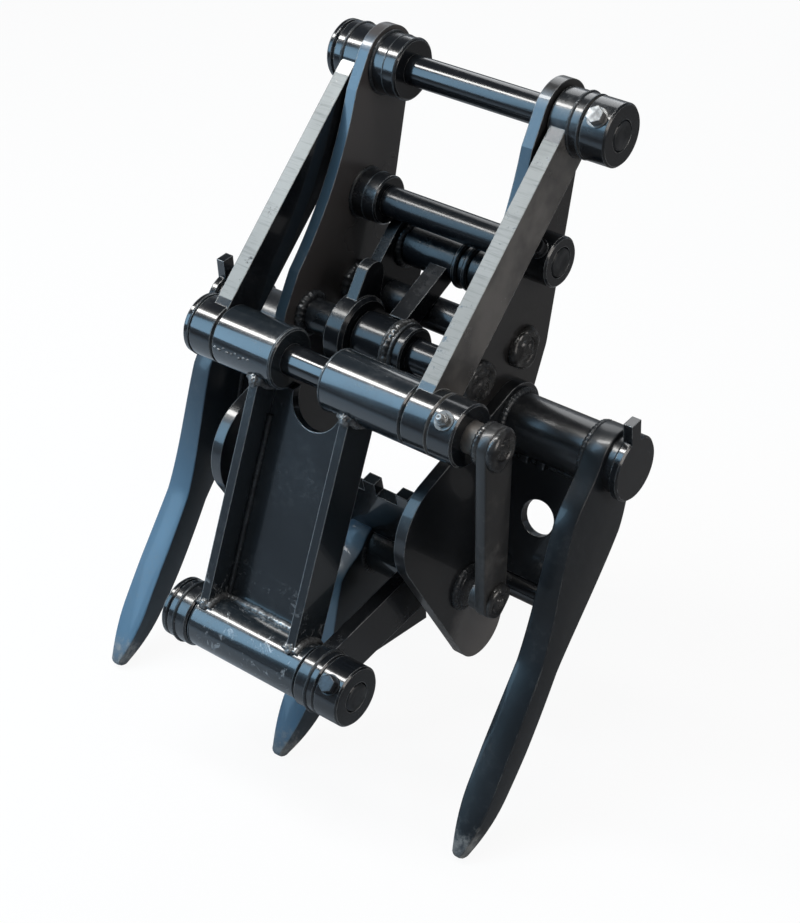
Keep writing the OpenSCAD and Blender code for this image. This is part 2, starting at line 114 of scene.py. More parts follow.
def mixColour(tree, mask, a, b):
    node = addNode(tree, "ShaderNodeMix", data_type="RGBA")
    tree.links.new(mask, node.inputs[0])
    for socket, value in ((node.inputs[6], a), (node.inputs[7], b)):
        if isinstance(value, tuple):
            socket.default_value = (*value, 1.0)
        else:
            tree.links.new(value, socket)
    return node.outputs[2]


def noiseNode(tree, vector, scale, detail=4.0, roughness=0.55, distortion=0.0):
    node = addNode(tree, "ShaderNodeTexNoise")
    tree.links.new(vector, node.inputs["Vector"])
    node.inputs["Detail"].default_value = detail
    node.inputs["Roughness"].default_value = roughness
    node.inputs["Distortion"].default_value = distortion
    if isinstance(scale, (int, float)):
        node.inputs["Scale"].default_value = scale
    else:
        tree.links.new(scale, node.inputs["Scale"])
    return node.outputs["Fac"]


def splitNode(tree, vector):
    node = addNode(tree, "ShaderNodeSeparateXYZ")
    tree.links.new(vector, node.inputs[0])
    return node.outputs


def facingNode(tree, vector, way):
    node = addNode(tree, "ShaderNodeVectorMath", operation="DOT_PRODUCT")
    tree.links.new(vector, node.inputs[0])
    node.inputs[1].default_value = way
    return node.outputs["Value"]


def stretchNode(tree, vector, turn, scale):
    node = addNode(tree, "ShaderNodeMapping")
    node.inputs["Rotation"].default_value = turn
    node.inputs["Scale"].default_value = scale
    tree.links.new(vector, node.inputs["Vector"])
    return node.outputs[0]


def distanceFrom(tree, vector, place):
    # distance from the line along the pins at a place
    flat = addNode(tree, "ShaderNodeVectorMath", operation="MULTIPLY")
    flat.inputs[1].default_value = (0.0, 1.0, 1.0)
    tree.links.new(vector, flat.inputs[0])
    node = addNode(tree, "ShaderNodeVectorMath", operation="DISTANCE")
    tree.links.new(flat.outputs[0], node.inputs[0])
    node.inputs[1].default_value = (0.0, *places[place])
    return node.outputs["Value"]


def newGroup(name, inputs, outputs):
    group = bpy.data.node_groups.new(name, "ShaderNodeTree")
    for label, kind, value in inputs:
        socket = group.interface.new_socket(name=label, in_out="INPUT", socket_type=kind)
        if value is not None:
            socket.default_value = value
    for label, kind in outputs:
        group.interface.new_socket(name=label, in_out="OUTPUT", socket_type=kind)
    return group, group.nodes.new("NodeGroupInput"), group.nodes.new("NodeGroupOutput")


edgeWear = {"samples": 6, "corner": (0.995, 0.86), "detail": 5.0, "ragged": 0.65, "hold": 0.6,
            "rubbed": (0.02, 0.16)}


def buildEdgeWear():
    # paint rubbed off the corners, and the softened corner itself, which the paints also use for a painted
    # highlight
    group, start, end = newGroup(
        "edgeWear",
        [("Vector", "NodeSocketVector", None), ("Width", "NodeSocketFloat", 0.0012),
         ("Patch Scale", "NodeSocketFloat", 60.0), ("Amount", "NodeSocketFloat", 0.5)],
        [("Wear", "NodeSocketFloat"), ("Corner", "NodeSocketFloat"), ("Normal", "NodeSocketVector")])
    bevel = addNode(group, "ShaderNodeBevel", samples=edgeWear["samples"])
    group.links.new(start.outputs["Width"], bevel.inputs["Radius"])
    surface = addNode(group, "ShaderNodeNewGeometry")
    bent = addNode(group, "ShaderNodeVectorMath", operation="DOT_PRODUCT")
    group.links.new(bevel.outputs[0], bent.inputs[0])
    group.links.new(surface.outputs["Normal"], bent.inputs[1])
    corner = rangeNode(group, bent.outputs["Value"], *edgeWear["corner"])
    patches = noiseNode(group, start.outputs["Vector"], start.outputs["Patch Scale"], edgeWear["detail"],
                        edgeWear["ragged"])
    held = timesNode(group, mathNode(group, "SUBTRACT", 1.0, start.outputs["Amount"]), edgeWear["hold"])
    rubbed = rangeNode(group, mathNode(group, "SUBTRACT", patches, held), *edgeWear["rubbed"])
    group.links.new(timesNode(group, corner, rubbed), end.inputs["Wear"])
    group.links.new(corner, end.inputs["Corner"])
    group.links.new(bevel.outputs[0], end.inputs["Normal"])
    return group


paintGrain = {
    "cloud": (14.0, 3.0), "fine": (190.0, 5.0, 0.7), "peel": (420.0, 2.0, 0.5),
    "settled": (0.46, 0.72), "settledCloud": (0.35, 0.7), "settledUp": (-0.1, 0.9, 0.25, 1.0),
    "streakTurn": (0.5, 0.3, 0.8), "streakScale": (1.0, 5.5, 1.6), "streaks": (6.0, 0.72, 0.6),
    "scuff": (0.62, 0.74), "scuffCloud": (0.5, 0.72),
}


def buildPaintGrain():
    # cloudy gloss, settled dust, thin scuffs and the orange peel of sprayed paint
    group, start, end = newGroup(
        "paintGrain",
        [("Vector", "NodeSocketVector", None), ("Up", "NodeSocketFloat", 0.0),
         ("Scuff Scale", "NodeSocketFloat", 70.0)],
        [("Cloud", "NodeSocketFloat"), ("Dust", "NodeSocketFloat"), ("Scuff", "NodeSocketFloat"),
         ("Peel", "NodeSocketFloat")])
    vector = start.outputs["Vector"]
    cloud = noiseNode(group, vector, *paintGrain["cloud"])
    fine = noiseNode(group, vector, *paintGrain["fine"])
    settled = timesNode(group, rangeNode(group, fine, *paintGrain["settled"]),
                        rangeNode(group, cloud, *paintGrain["settledCloud"]))
    settled = timesNode(group, settled, rangeNode(group, start.outputs["Up"], *paintGrain["settledUp"]))
    stretched = stretchNode(group, vector, paintGrain["streakTurn"], paintGrain["streakScale"])
    streaks = noiseNode(group, stretched, start.outputs["Scuff Scale"], *paintGrain["streaks"])
    scuff = timesNode(group, rangeNode(group, streaks, *paintGrain["scuff"]),
                      rangeNode(group, cloud, *paintGrain["scuffCloud"]))
    peel = noiseNode(group, vector, *paintGrain["peel"])
    for label, value in (("Cloud", cloud), ("Dust", settled), ("Scuff", scuff), ("Peel", peel)):
        group.links.new(value, end.inputs[label])
    return group


edgeWearGroup = buildEdgeWear()
paintGrainGroup = buildPaintGrain()


def startMaterial(name):
    material = bpy.data.materials.new(name)
    material.use_nodes = True
    tree = material.node_tree
    return material, tree, tree.nodes["Principled BSDF"], addNode(tree, "ShaderNodeTexCoord")


def addBump(tree, shader, strength, distance, height, normal=None):
    bump = addNode(tree, "ShaderNodeBump")
    bump.inputs["Strength"].default_value = strength
    bump.inputs["Distance"].default_value = distance
    tree.links.new(height, bump.inputs["Height"])
    if normal:
        tree.links.new(normal, bump.inputs["Normal"])
    tree.links.new(bump.outputs[0], shader.inputs["Normal"])


def makePaint(name, finish):
    material, tree, shader, coords = startMaterial(name)
    vector = coords.outputs["Object"]
    wear = addNode(tree, "ShaderNodeGroup", node_tree=edgeWearGroup)
    grain = addNode(tree, "ShaderNodeGroup", node_tree=paintGrainGroup)
    tree.links.new(vector, wear.inputs["Vector"])
    tree.links.new(vector, grain.inputs["Vector"])
    tree.links.new(splitNode(tree, coords.outputs["Normal"])["Z"], grain.inputs["Up"])
    wear.inputs["Width"].default_value = finish["cornerRadius"]
    wear.inputs["Patch Scale"].default_value = finish["wearScale"]
    wear.inputs["Amount"].default_value = finish["wearAmount"]
    grain.inputs["Scuff Scale"].default_value = finish["scuffScale"]

    colour = mixColour(tree, grain.outputs["Cloud"], finish["colour"], finish["colourCloud"])
    if finish["tintZone"]:
        colour = mixColour(tree, finish["tintZone"](tree, coords), colour, finish["tint"])
    # painted highlight: the softened corners are painted a lighter colour, as if catching light
    shine = rangeNode(tree, wear.outputs["Corner"], 0.0, 1.0, 0.0, finish["cornerShine"])
    colour = mixColour(tree, shine, colour, finish["cornerHighlightColour"])
    marks = mathNode(tree, "MAXIMUM", timesNode(tree, grain.outputs["Dust"], finish["dust"]),
                     timesNode(tree, grain.outputs["Scuff"], finish["scuff"]))
    colour = mixColour(tree, marks, colour, finish["dustColour"])
    bare, brushed = wear.outputs["Wear"], grain.outputs["Cloud"]
    if finish["bareZone"]:
        zone, brushed = finish["bareZone"](tree, coords)
        bare = mathNode(tree, "MAXIMUM", bare, zone)
    bareColour = mixColour(tree, brushed, finish["bareColour"], finish["bareDark"])
    tree.links.new(mixColour(tree, bare, colour, bareColour), shader.inputs["Base Color"])

    rough = rangeNode(tree, grain.outputs["Cloud"], *finish["roughCloud"], *finish["rough"])
    rough = mathNode(tree, "ADD", rough, timesNode(tree, marks, finish["markRough"]))
    rough = mathNode(tree, "ADD", rough, timesNode(tree, bare, finish["bareRough"]), clamp=True)
    tree.links.new(rough, shader.inputs["Roughness"])
    tree.links.new(timesNode(tree, bare, finish["bareMetal"]), shader.inputs["Metallic"])
    shader.inputs["Specular IOR Level"].default_value = finish["specular"]
    clear = mathNode(tree, "SUBTRACT", 1.0, mathNode(tree, "MAXIMUM", bare, marks), clamp=True)
    tree.links.new(timesNode(tree, clear, finish["coat"]), shader.inputs["Coat Weight"])
    shader.inputs["Coat Roughness"].default_value = finish["coatRough"]
    height = mathNode(tree, "ADD", timesNode(tree, grain.outputs["Peel"], finish["peel"]), marks)
    addBump(tree, shader, finish["bump"], finish["bumpDeep"], height, wear.outputs["Normal"])
    return material


weldGrain = {"beads": (5.0, 0.6, 0.4), "light": (0.36, 0.66), "change": (0.3, 0.7), "glintScale": 4.5,
             "glintSpots": (0.66, 0.76), "bumpFine": 2.2, "bumpDetail": (4.0, 0.65), "bumpDeep": 0.001}


def makeWeld(name, weld):
    material, tree, shader, coords = startMaterial(name)
    vector = coords.outputs["Object"]
    beads = noiseNode(tree, vector, weld["scale"], *weldGrain["beads"])
    colour = mixColour(tree, rangeNode(tree, beads, *weldGrain["light"]), weld["dark"], weld["light"])
    # painted glints: small bright spots of the glint colour in the metal's own colour
    spots = noiseNode(tree, vector, weld["scale"] * weldGrain["glintScale"], 3.0, 0.6)
    colour = mixColour(tree, rangeNode(tree, spots, *weldGrain["glintSpots"]), colour, weld["glint"])
    tree.links.new(colour, shader.inputs["Base Color"])
    for label, key in (("Roughness", "rough"), ("Metallic", "metal")):
        tree.links.new(rangeNode(tree, beads, *weldGrain["change"], *weld[key]), shader.inputs[label])
    pits = noiseNode(tree, vector, weld["scale"] * weldGrain["bumpFine"], *weldGrain["bumpDetail"])
    addBump(tree, shader, weld["bump"], weldGrain["bumpDeep"], pits)
    return material


# Where a paint is tinted or worn through: a mask, and for bare places the brushing too

edgeWay = (0.0, -0.90, 0.44)  # forward and up, as the front edges of ears and tines face
rockerFaceReflectionReach = {"side": (0.5, 0.8), "right": (0.05, 0.09), "scale": 16.0, "thin": (0.36, 0.64, 0.45, 1.0)}


def rockerFaceReflection(tree, coords):
    # painted reflection of the floor: the outer face of the right rocker plate is painted a lighter warm
    # grey, in clouds
    side = rangeNode(tree, splitNode(tree, coords.outputs["Normal"])["X"], *rockerFaceReflectionReach["side"])
    right = rangeNode(tree, splitNode(tree, coords.outputs["Object"])["X"], *rockerFaceReflectionReach["right"])
    cloud = noiseNode(tree, coords.outputs["Object"], rockerFaceReflectionReach["scale"], 4.0, 0.6)
    return timesNode(tree, timesNode(tree, side, right), rangeNode(tree, cloud, *rockerFaceReflectionReach["thin"]))


rockerEdge = {
    "way": (0.0, -0.635, 0.772), "facing": (0.95, 0.985), "dipper": (0.033, 0.034), "front": (0.029, 0.030),
    "chips": (0.30, 0.42), "brushTurn": (0.69, 0.0, 0.0), "brushScale": (0.25, 6.0, 1.0),
    "brush": (0.48, 0.72),
}


def rockerEdgeZone(tree, coords):
    # the ground front edge of a rocker plate, square cut where each boss begins
    vector = coords.outputs["Object"]
    facing = facingNode(tree, coords.outputs["Normal"], rockerEdge["way"])
    edge = rangeNode(tree, facing, *rockerEdge["facing"])
    for boss in ("dipper", "front"):
        edge = timesNode(tree, edge, rangeNode(tree, distanceFrom(tree, vector, boss), *rockerEdge[boss]))
    chips = rangeNode(tree, noiseNode(tree, vector, 120.0, 6.0, 0.75), *rockerEdge["chips"])
    brushed = stretchNode(tree, vector, rockerEdge["brushTurn"], rockerEdge["brushScale"])
    lines = rangeNode(tree, noiseNode(tree, brushed, 95.0, 4.0, 0.7), *rockerEdge["brush"])
    return timesNode(tree, edge, chips), lines


tipWear = {"ragged": 0.045, "worn": (0.046, 0.026, 0.0, 0.75), "sand": (0.35, 0.65)}


def tipZone(tree, coords):
    # bare sandy points where the tines dig
    cloud = noiseNode(tree, coords.outputs["Object"], 110.0, 6.0, 0.78)
    away = distanceFrom(tree, coords.outputs["Object"], "tip")
    worn = mathNode(tree, "ADD", away, timesNode(tree, cloud, tipWear["ragged"]))
    return rangeNode(tree, worn, *tipWear["worn"]), rangeNode(tree, cloud, *tipWear["sand"])


tineReflectionReach = {"left": (0.09, 0.02), "low": (-0.24, -0.42, 0.15, 1.0), "front": (0.15, 0.60, 0.08, 1.0)}


def tineSkyReflection(tree, coords):
    # painted reflection of the sky window: the forward-facing edges of the left and middle tines are painted
    # a lighter blue slate, towards the point
    split = splitNode(tree, coords.outputs["Object"])
    left = rangeNode(tree, split["X"], *tineReflectionReach["left"])
    low = rangeNode(tree, split["Z"], *tineReflectionReach["low"])
    front = rangeNode(tree, facingNode(tree, coords.outputs["Normal"], edgeWay), *tineReflectionReach["front"])
    return timesNode(tree, timesNode(tree, left, low), front)


def earEdgeSkyReflection(tree, coords):
    # painted reflection of the sky window: the forward and upward facing edges of the ears are painted blue
    return rangeNode(tree, facingNode(tree, coords.outputs["Normal"], edgeWay), 0.72, 0.94)


linkScrapes = {"reach": (0.062, 0.030), "scrapes": (0.56, 0.66)}


def linkScrapeZone(tree, coords):
    # pale scrapes just above the lower tube
    vector = coords.outputs["Object"]
    near = rangeNode(tree, distanceFrom(tree, vector, "low"), *linkScrapes["reach"])
    scrapes = noiseNode(tree, vector, 75.0, 6.0, 0.8, 0.8)
    return timesNode(tree, near, rangeNode(tree, scrapes, *linkScrapes["scrapes"])), scrapes


pinStub = {"outside": (0.1395, 0.1405), "blotch": (0.2, 0.4, 0.7, 1.0)}


def pinStubZone(tree, coords):
    # the end of the front pin outside its collar is bare
    outside = rangeNode(tree, splitNode(tree, coords.outputs["Object"])["X"], *pinStub["outside"])
    blotch = noiseNode(tree, coords.outputs["Object"], 130.0, 5.0, 0.7)
    return timesNode(tree, outside, rangeNode(tree, blotch, *pinStub["blotch"])), blotch


def leverZone(tree, coords):
    # thin paint over mill scale, worn through in patches
    vector = coords.outputs["Object"]
    blotch = noiseNode(tree, vector, 46.0, 6.0, 0.72)
    return rangeNode(tree, blotch, 0.50, 0.68, 0.0, 0.75), noiseNode(tree, vector, 210.0, 4.0, 0.7)


sideFoot = {"grain": 90.0, "ragged": 0.02, "reach": (0.062, 0.040)}


def sideFootTint(tree, coords):
    # the feet of the side plates are painted a lighter warm grey, with a ragged edge
    grain = noiseNode(tree, coords.outputs["Object"], sideFoot["grain"], 5.0, 0.7)
    away = distanceFrom(tree, coords.outputs["Object"], "sideFoot")
    reached = mathNode(tree, "ADD", away, timesNode(tree, grain, sideFoot["ragged"]))
    return rangeNode(tree, reached, *sideFoot["reach"])


# Finishes

paintBase = {
    "colour": (0.0042, 0.0050, 0.0062), "colourCloud": (0.0075, 0.0090, 0.0112),
    "tint": (0.03, 0.05, 0.07), "tintZone": None, "bareZone": None,
    # cornerShine and the corner colour paint a highlight on the softened corners
    "cornerRadius": 0.0014, "cornerShine": 0.6, "cornerHighlightColour": (0.04, 0.052, 0.062),
    "wearScale": 55.0, "wearAmount": 0.42, "scuffScale": 60.0,
    "dust": 0.2, "scuff": 0.3, "dustColour": (0.16, 0.165, 0.165), "markRough": 0.4,
    "bareColour": (0.32, 0.33, 0.33), "bareDark": (0.18, 0.185, 0.19), "bareRough": 0.22, "bareMetal": 0.6,
    "rough": (0.16, 0.28), "roughCloud": (0.3, 0.7),
    "specular": 0.5, "coat": 0.5, "coatRough": 0.06, "bump": 0.05, "bumpDeep": 0.0006, "peel": 0.5,
}
paints = {
    "blackPaint": {},
    "earPaint": {
        "colour": (0.0095, 0.0090, 0.0092), "colourCloud": (0.017, 0.0162, 0.0162), "rough": (0.26, 0.42),
        # tint: painted reflection of the sky window on the ear's front edges
        "scuff": 0.2, "tint": (0.030, 0.062, 0.095), "tintZone": earEdgeSkyReflection},
    # painted light: the left ear is a lighter copy of the ear paint, for the warm light on its inner face;
    # its front edges carry the same painted reflection
    "leftEarLitPaint": {
        "colour": (0.048, 0.044, 0.0435), "colourCloud": (0.062, 0.057, 0.056), "rough": (0.26, 0.42),
        "scuff": 0.2, "tint": (0.030, 0.062, 0.095), "tintZone": earEdgeSkyReflection},
    "pinPaint": {"rough": (0.13, 0.22), "dust": 0.12, "coat": 0.25, "coatRough": 0.05},
    "frontPinPaint": {
        "rough": (0.12, 0.22), "coat": 0.6, "coatRough": 0.04, "bareColour": (0.20, 0.185, 0.17),
        "bareDark": (0.07, 0.066, 0.062), "bareRough": 0.35, "bareZone": pinStubZone},
    "linkPaint": {
        "colour": (0.0070, 0.0100, 0.0125), "colourCloud": (0.012, 0.016, 0.020), "scuff": 0.22,
        "wearAmount": 0.5, "coat": 0.7, "coatRough": 0.05, "rough": (0.15, 0.24),
        # the link's painted corner highlight is lighter and bluer
        "cornerHighlightColour": (0.09, 0.13, 0.16), "cornerShine": 0.9, "bareColour": (0.40, 0.43, 0.45),
        "bareZone": linkScrapeZone},
    "rockerPaint": {
        "bareColour": (0.26, 0.265, 0.255), "bareDark": (0.17, 0.175, 0.17), "bareMetal": 0.15,
        # tint: painted reflection of the floor on the right rocker plate's outer face
        "bareRough": 0.42, "tint": (0.105, 0.099, 0.093), "bareZone": rockerEdgeZone,
        "tintZone": rockerFaceReflection},
    "shadePaint": {"rough": (0.20, 0.32), "specular": 0.28, "coat": 0.14, "coatRough": 0.05},
    "tinePaint": {
        "colour": (0.0055, 0.0075, 0.0095), "colourCloud": (0.0095, 0.0125, 0.0160),
        # tint: painted reflection of the sky window on the tines' front edges
        "tint": (0.075, 0.150, 0.225), "rough": (0.30, 0.46), "coat": 0.2,
        "bareColour": (0.27, 0.27, 0.255), "bareDark": (0.10, 0.11, 0.12), "bareMetal": 0.15,
        "bareRough": 0.4, "bareZone": tipZone, "tintZone": tineSkyReflection},
    "sidePaint": {"tint": (0.115, 0.106, 0.100), "rough": (0.26, 0.42), "tintZone": sideFootTint},
    "tubePaint": {"rough": (0.26, 0.36), "coat": 0.35, "coatRough": 0.16},
    "leverPaint": {
        "colour": (0.010, 0.010, 0.0105), "colourCloud": (0.022, 0.0215, 0.021), "rough": (0.28, 0.46),
        "coat": 0.2, "bareColour": (0.10, 0.096, 0.092), "bareDark": (0.04, 0.038, 0.036),
        "bareMetal": 0.3, "wearAmount": 0.6, "bareZone": leverZone},
}
metals = {
    "weldDark": {
        "scale": 150.0, "dark": (0.014, 0.016, 0.018), "light": (0.05, 0.055, 0.06),
        "glint": (0.35, 0.37, 0.38), "rough": (0.42, 0.2), "metal": (0.1, 0.5), "bump": 0.5},
    "weldBright": {
        "scale": 120.0, "dark": (0.05, 0.052, 0.054), "light": (0.24, 0.25, 0.255),
        "glint": (0.62, 0.63, 0.63), "rough": (0.45, 0.24), "metal": (0.2, 0.75), "bump": 0.6},
    "weldRough": {
        "scale": 70.0, "dark": (0.012, 0.012, 0.013), "light": (0.085, 0.085, 0.084),
        "glint": (0.38, 0.38, 0.37), "rough": (0.38, 0.16), "metal": (0.15, 0.7), "bump": 0.35},
    "ringEdge": {
        "scale": 60.0, "dark": (0.02, 0.024, 0.028), "light": (0.10, 0.12, 0.135),
        "glint": (0.2, 0.22, 0.24), "rough": (0.34, 0.2), "metal": (0.2, 0.4), "bump": 0.1},
    "zincBolt": {
        "scale": 90.0, "dark": (0.13, 0.13, 0.128), "light": (0.27, 0.275, 0.275),
        "glint": (0.5, 0.5, 0.49), "rough": (0.55, 0.38), "metal": (0.5, 0.85), "bump": 0.2},
    "darkBolt": {
        "scale": 110.0, "dark": (0.014, 0.015, 0.017), "light": (0.035, 0.038, 0.042),
        "glint": (0.2, 0.21, 0.22), "rough": (0.34, 0.2), "metal": (0.2, 0.5), "bump": 0.15},
    "pinEnd": {
        "scale": 70.0, "dark": (0.016, 0.018, 0.020), "light": (0.055, 0.058, 0.062),
        "glint": (0.24, 0.24, 0.24), "rough": (0.5, 0.34), "metal": (0.3, 0.6), "bump": 0.15},
}
finishes = {name: makePaint(name, {**paintBase, **changes}) for name, changes in paints.items()}
finishes.update({name: makeWeld(name, look) for name, look in metals.items()})
print("materials made,", len(finishes))

nodeFinish = {
    "blackPaint": ["ear_bosses", "dipper_pin_collar", "link_pin_collar", "torque_tube_caps", "left_web",
                   "right_web", "brace_bars", "front_pin_collar", "left_arm", "right_arm", "arm_gussets",
                   "lower_pin_collar"],
    "earPaint": ["right_ear"],
    "leftEarLitPaint": ["left_ear"],
    "pinPaint": ["dipper_pin", "jaw_pivot_shaft", "lower_pin"],
    "frontPinPaint": ["front_pin"],
    "shadePaint": ["link_pin", "front_cross_shaft", "stop_disc", "cross_sleeve", "rear_cross_shaft",
                   "hanger_tube", "hanger_cheek", "hanger_bar", "hanger_rings"],
    "tubePaint": ["torque_tube"],
    "sidePaint": ["left_side_plate", "right_side_plate"],
    "tinePaint": ["left_tine", "right_tine", "middle_tine"],
    "rockerPaint": ["left_rocker_plate", "right_rocker_plate"],
    "leverPaint": ["side_lever"],
    "linkPaint": ["left_link_tube", "right_link_tube", "left_link_rib", "right_link_rib", "link_plate",
                  "lower_link_tube", "jaw_tube", "jaw_web"],
    "weldDark": ["cross_shaft_welds", "pivot_end_discs"],
    "zincBolt": ["rear_collar_bolts", "grease_nipple", "lower_collar_bolt"],
}
for finish, names in nodeFinish.items():
    for name in names:
        for slot in nodes[name].material_slots:
            slot.material = finishes[finish]
print("paint on", sum(len(names) for names in nodeFinish.values()), "nodes")


# Mesh helpers

sameSpot = 1e-6


def finishPiece(name, mesh, finish, body, replaced=()):
    bmesh.ops.remove_doubles(mesh, verts=mesh.verts, dist=sameSpot)
    bmesh.ops.recalc_face_normals(mesh, faces=mesh.faces)
    data = bpy.data.meshes.new(name)
    mesh.to_mesh(data)
    mesh.free()
    for face in data.polygons:
        face.use_smooth = True
    data.materials.append(finishes[finish])
    piece = bpy.data.objects.new(name, data)
    bpy.context.collection.objects.link(piece)
    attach(piece, body)
    for node in replaced:
        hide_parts(node)
    return piece


def sharpen(piece, angle):
    edges = bmesh.new()
    edges.from_mesh(piece.data)
    for edge in edges.edges:
        edge.smooth = edge.calc_face_angle(0.0) < math.radians(angle)
    edges.to_mesh(piece.data)
    edges.free()


def softenEdges(mesh, width, angle=50, segments=3):
    rim = [edge for edge in mesh.edges if edge.calc_face_angle(0.0) > math.radians(angle)]
    bmesh.ops.bevel(mesh, geom=rim, offset=width, segments=segments, profile=0.5, affect="EDGES", material=-1)


def leaned(angle):
    return Matrix.Rotation(math.radians(angle), 4, "X")


def alongPins(x, place):
    # a stand whose upright runs along the pins
    return Matrix.Translation((x, *places[place])) @ Matrix.Rotation(math.radians(90), 4, "Y")


def lumpUp(verts, along, lump):
    # ripples of the welding rod, with a slow drift in the width of the bead
    for vert in verts:
        distance, outward = along(vert.co)
        ripple = lump["ripple"] * math.sin(distance / lump["pitch"] * 2 * math.pi)
        drift = lump["drift"] * noise.noise(vert.co * lump["grain"] + Vector((lump["seed"], 0, 0)))
        vert.co += outward * (ripple + drift)


def unit(way):
    return way.normalized() if way.length > 1e-7 else Vector((0, 0, 0))


def ringBead(mesh, place, radius, x, bead, fromAngle=0.0, sweep=360.0):
    # a bead round a tube: a small circle spun about a line along the pins
    y, z = places[place]
    centre = Vector((x, y, z))
    steps = max(8, int(abs(sweep) / 360.0 * radius * 2 * math.pi / bead["step"]))
    start = Matrix.Translation(centre) @ leaned(fromAngle) @ Matrix.Translation((0, radius, 0))
    made = bmesh.ops.create_circle(mesh, cap_ends=False, segments=8, radius=bead["width"] / 2, matrix=start)
    before = set(mesh.verts) - set(made["verts"])
    edges = list(dict.fromkeys(edge for vert in made["verts"] for edge in vert.link_edges))
    full = sweep == 360.0
    bmesh.ops.spin(mesh, geom=made["verts"] + edges, cent=centre, axis=(1, 0, 0), angle=math.radians(sweep),
                   steps=steps, use_merge=full, use_duplicate=False)
    if not full:
        bmesh.ops.holes_fill(mesh, edges=[edge for edge in mesh.edges if edge.is_boundary])

    def along(point):
        out = Vector((0, point.y - y, point.z - z))
        return math.atan2(out.z, out.y) * radius, unit(point - (centre + out.normalized() * radius))
    lumpUp([vert for vert in mesh.verts if vert not in before], along, bead)


def seamBead(mesh, start, end, bead):
    # a straight bead: a small circle pulled along the seam
    way = (end - start).normalized()
    turn = way.to_track_quat("Z", "Y").to_matrix().to_4x4()
    steps = max(3, int((end - start).length / bead["step"]))
    before = set(mesh.verts)
    made = bmesh.ops.create_circle(mesh, cap_ends=True, segments=8, radius=bead["width"] / 2,
                                   matrix=Matrix.Translation(start) @ turn)
    cap = list({face for vert in made["verts"] for face in vert.link_faces})
    for step in range(steps):
        pulled = bmesh.ops.extrude_face_region(mesh, geom=cap)["geom"]
        bmesh.ops.delete(mesh, geom=cap, context="FACES_ONLY")
        cap = [item for item in pulled if isinstance(item, bmesh.types.BMFace)]
        moved = [item for item in pulled if isinstance(item, bmesh.types.BMVert)]
        bmesh.ops.translate(mesh, vec=(end - start) / steps, verts=moved)
    bmesh.ops.holes_fill(mesh, edges=[edge for edge in mesh.edges if edge.is_boundary])

    def along(point):
        distance = (point - start).dot(way)
        return distance, unit(point - (start + way * distance))
    lumpUp([vert for vert in mesh.verts if vert not in before], along, bead)


def weldLump(mesh, centre, size, rough, seed):
    # a knob of weld: a fine ball pressed flat and lumped up
    made = bmesh.ops.create_icosphere(mesh, subdivisions=4, radius=1.0)
    for vert in made["verts"]:
        out = vert.co.normalized()
        rise = noise.noise(out * 2.6 + Vector((seed, 0, 0)))
        rise += 0.5 * noise.noise(out * 6.5 + Vector((0, seed, 0)))
        vert.co = Vector([out[i] * (size[i] + rough * rise) for i in range(3)]) + Vector(centre)


def spunProfile(mesh, stand, profile, steps=32):
    # a profile of radius and height, spun round the stand's upright
    before = set(mesh.verts)
    verts = [mesh.verts.new((radius, 0, height)) for radius, height in profile]
    edges = [mesh.edges.new(pair) for pair in zip(verts, verts[1:])]
    bmesh.ops.spin(mesh, geom=verts + edges, cent=(0, 0, 0), axis=(0, 0, 1), angle=2 * math.pi, steps=steps,
                   use_merge=True, use_duplicate=False)
    made = [vert for vert in mesh.verts if vert not in before]
    bmesh.ops.transform(mesh, matrix=stand, verts=made)
    bmesh.ops.remove_doubles(mesh, verts=made, dist=sameSpot)


def turnedPart(mesh, place, profile):
    # a profile of place along the pins and radius, spun about the pins' way
    spunProfile(mesh, alongPins(0, place), [(radius, x) for x, radius in profile], 48)


def disc(mesh, stand, low, high, radius, corners, topRadius=None):
    # one prism or disc between two heights on the stand
    place = stand @ Matrix.Translation((0, 0, (low + high) / 2))
    bmesh.ops.create_cone(mesh, cap_ends=True, cap_tris=False, segments=corners, radius1=radius,
                          radius2=topRadius or radius, depth=high - low, matrix=place)


beadSizes = {
    "heavy": {"width": 0.0095, "ripple": 0.00045, "pitch": 0.0042, "drift": 0.0011, "seed": 1.0},
    "plain": {"width": 0.0066, "ripple": 0.00035, "pitch": 0.0034, "drift": 0.0006, "seed": 2.0},
    "thin": {"width": 0.0044, "ripple": 0.00025, "pitch": 0.0028, "drift": 0.0004, "seed": 3.0},
    "fine": {"width": 0.0032, "ripple": 0.00018, "pitch": 0.0024, "drift": 0.0004, "seed": 5.0},
}


def beadOf(size, **changes):
    return {"step": 0.0011, "grain": 110.0, **beadSizes[size], **changes}


def between(a, b):
    return Vector((0, places[b][0] - places[a][0], places[b][1] - places[a][1]))


def angleOf(way):
    # the angle of a way in the side view, for the start of a spun arc
    return math.degrees(math.atan2(way.z, way.y))


# Ring welds, body by body: the beads' middle lies this far out from the tube and from the plate

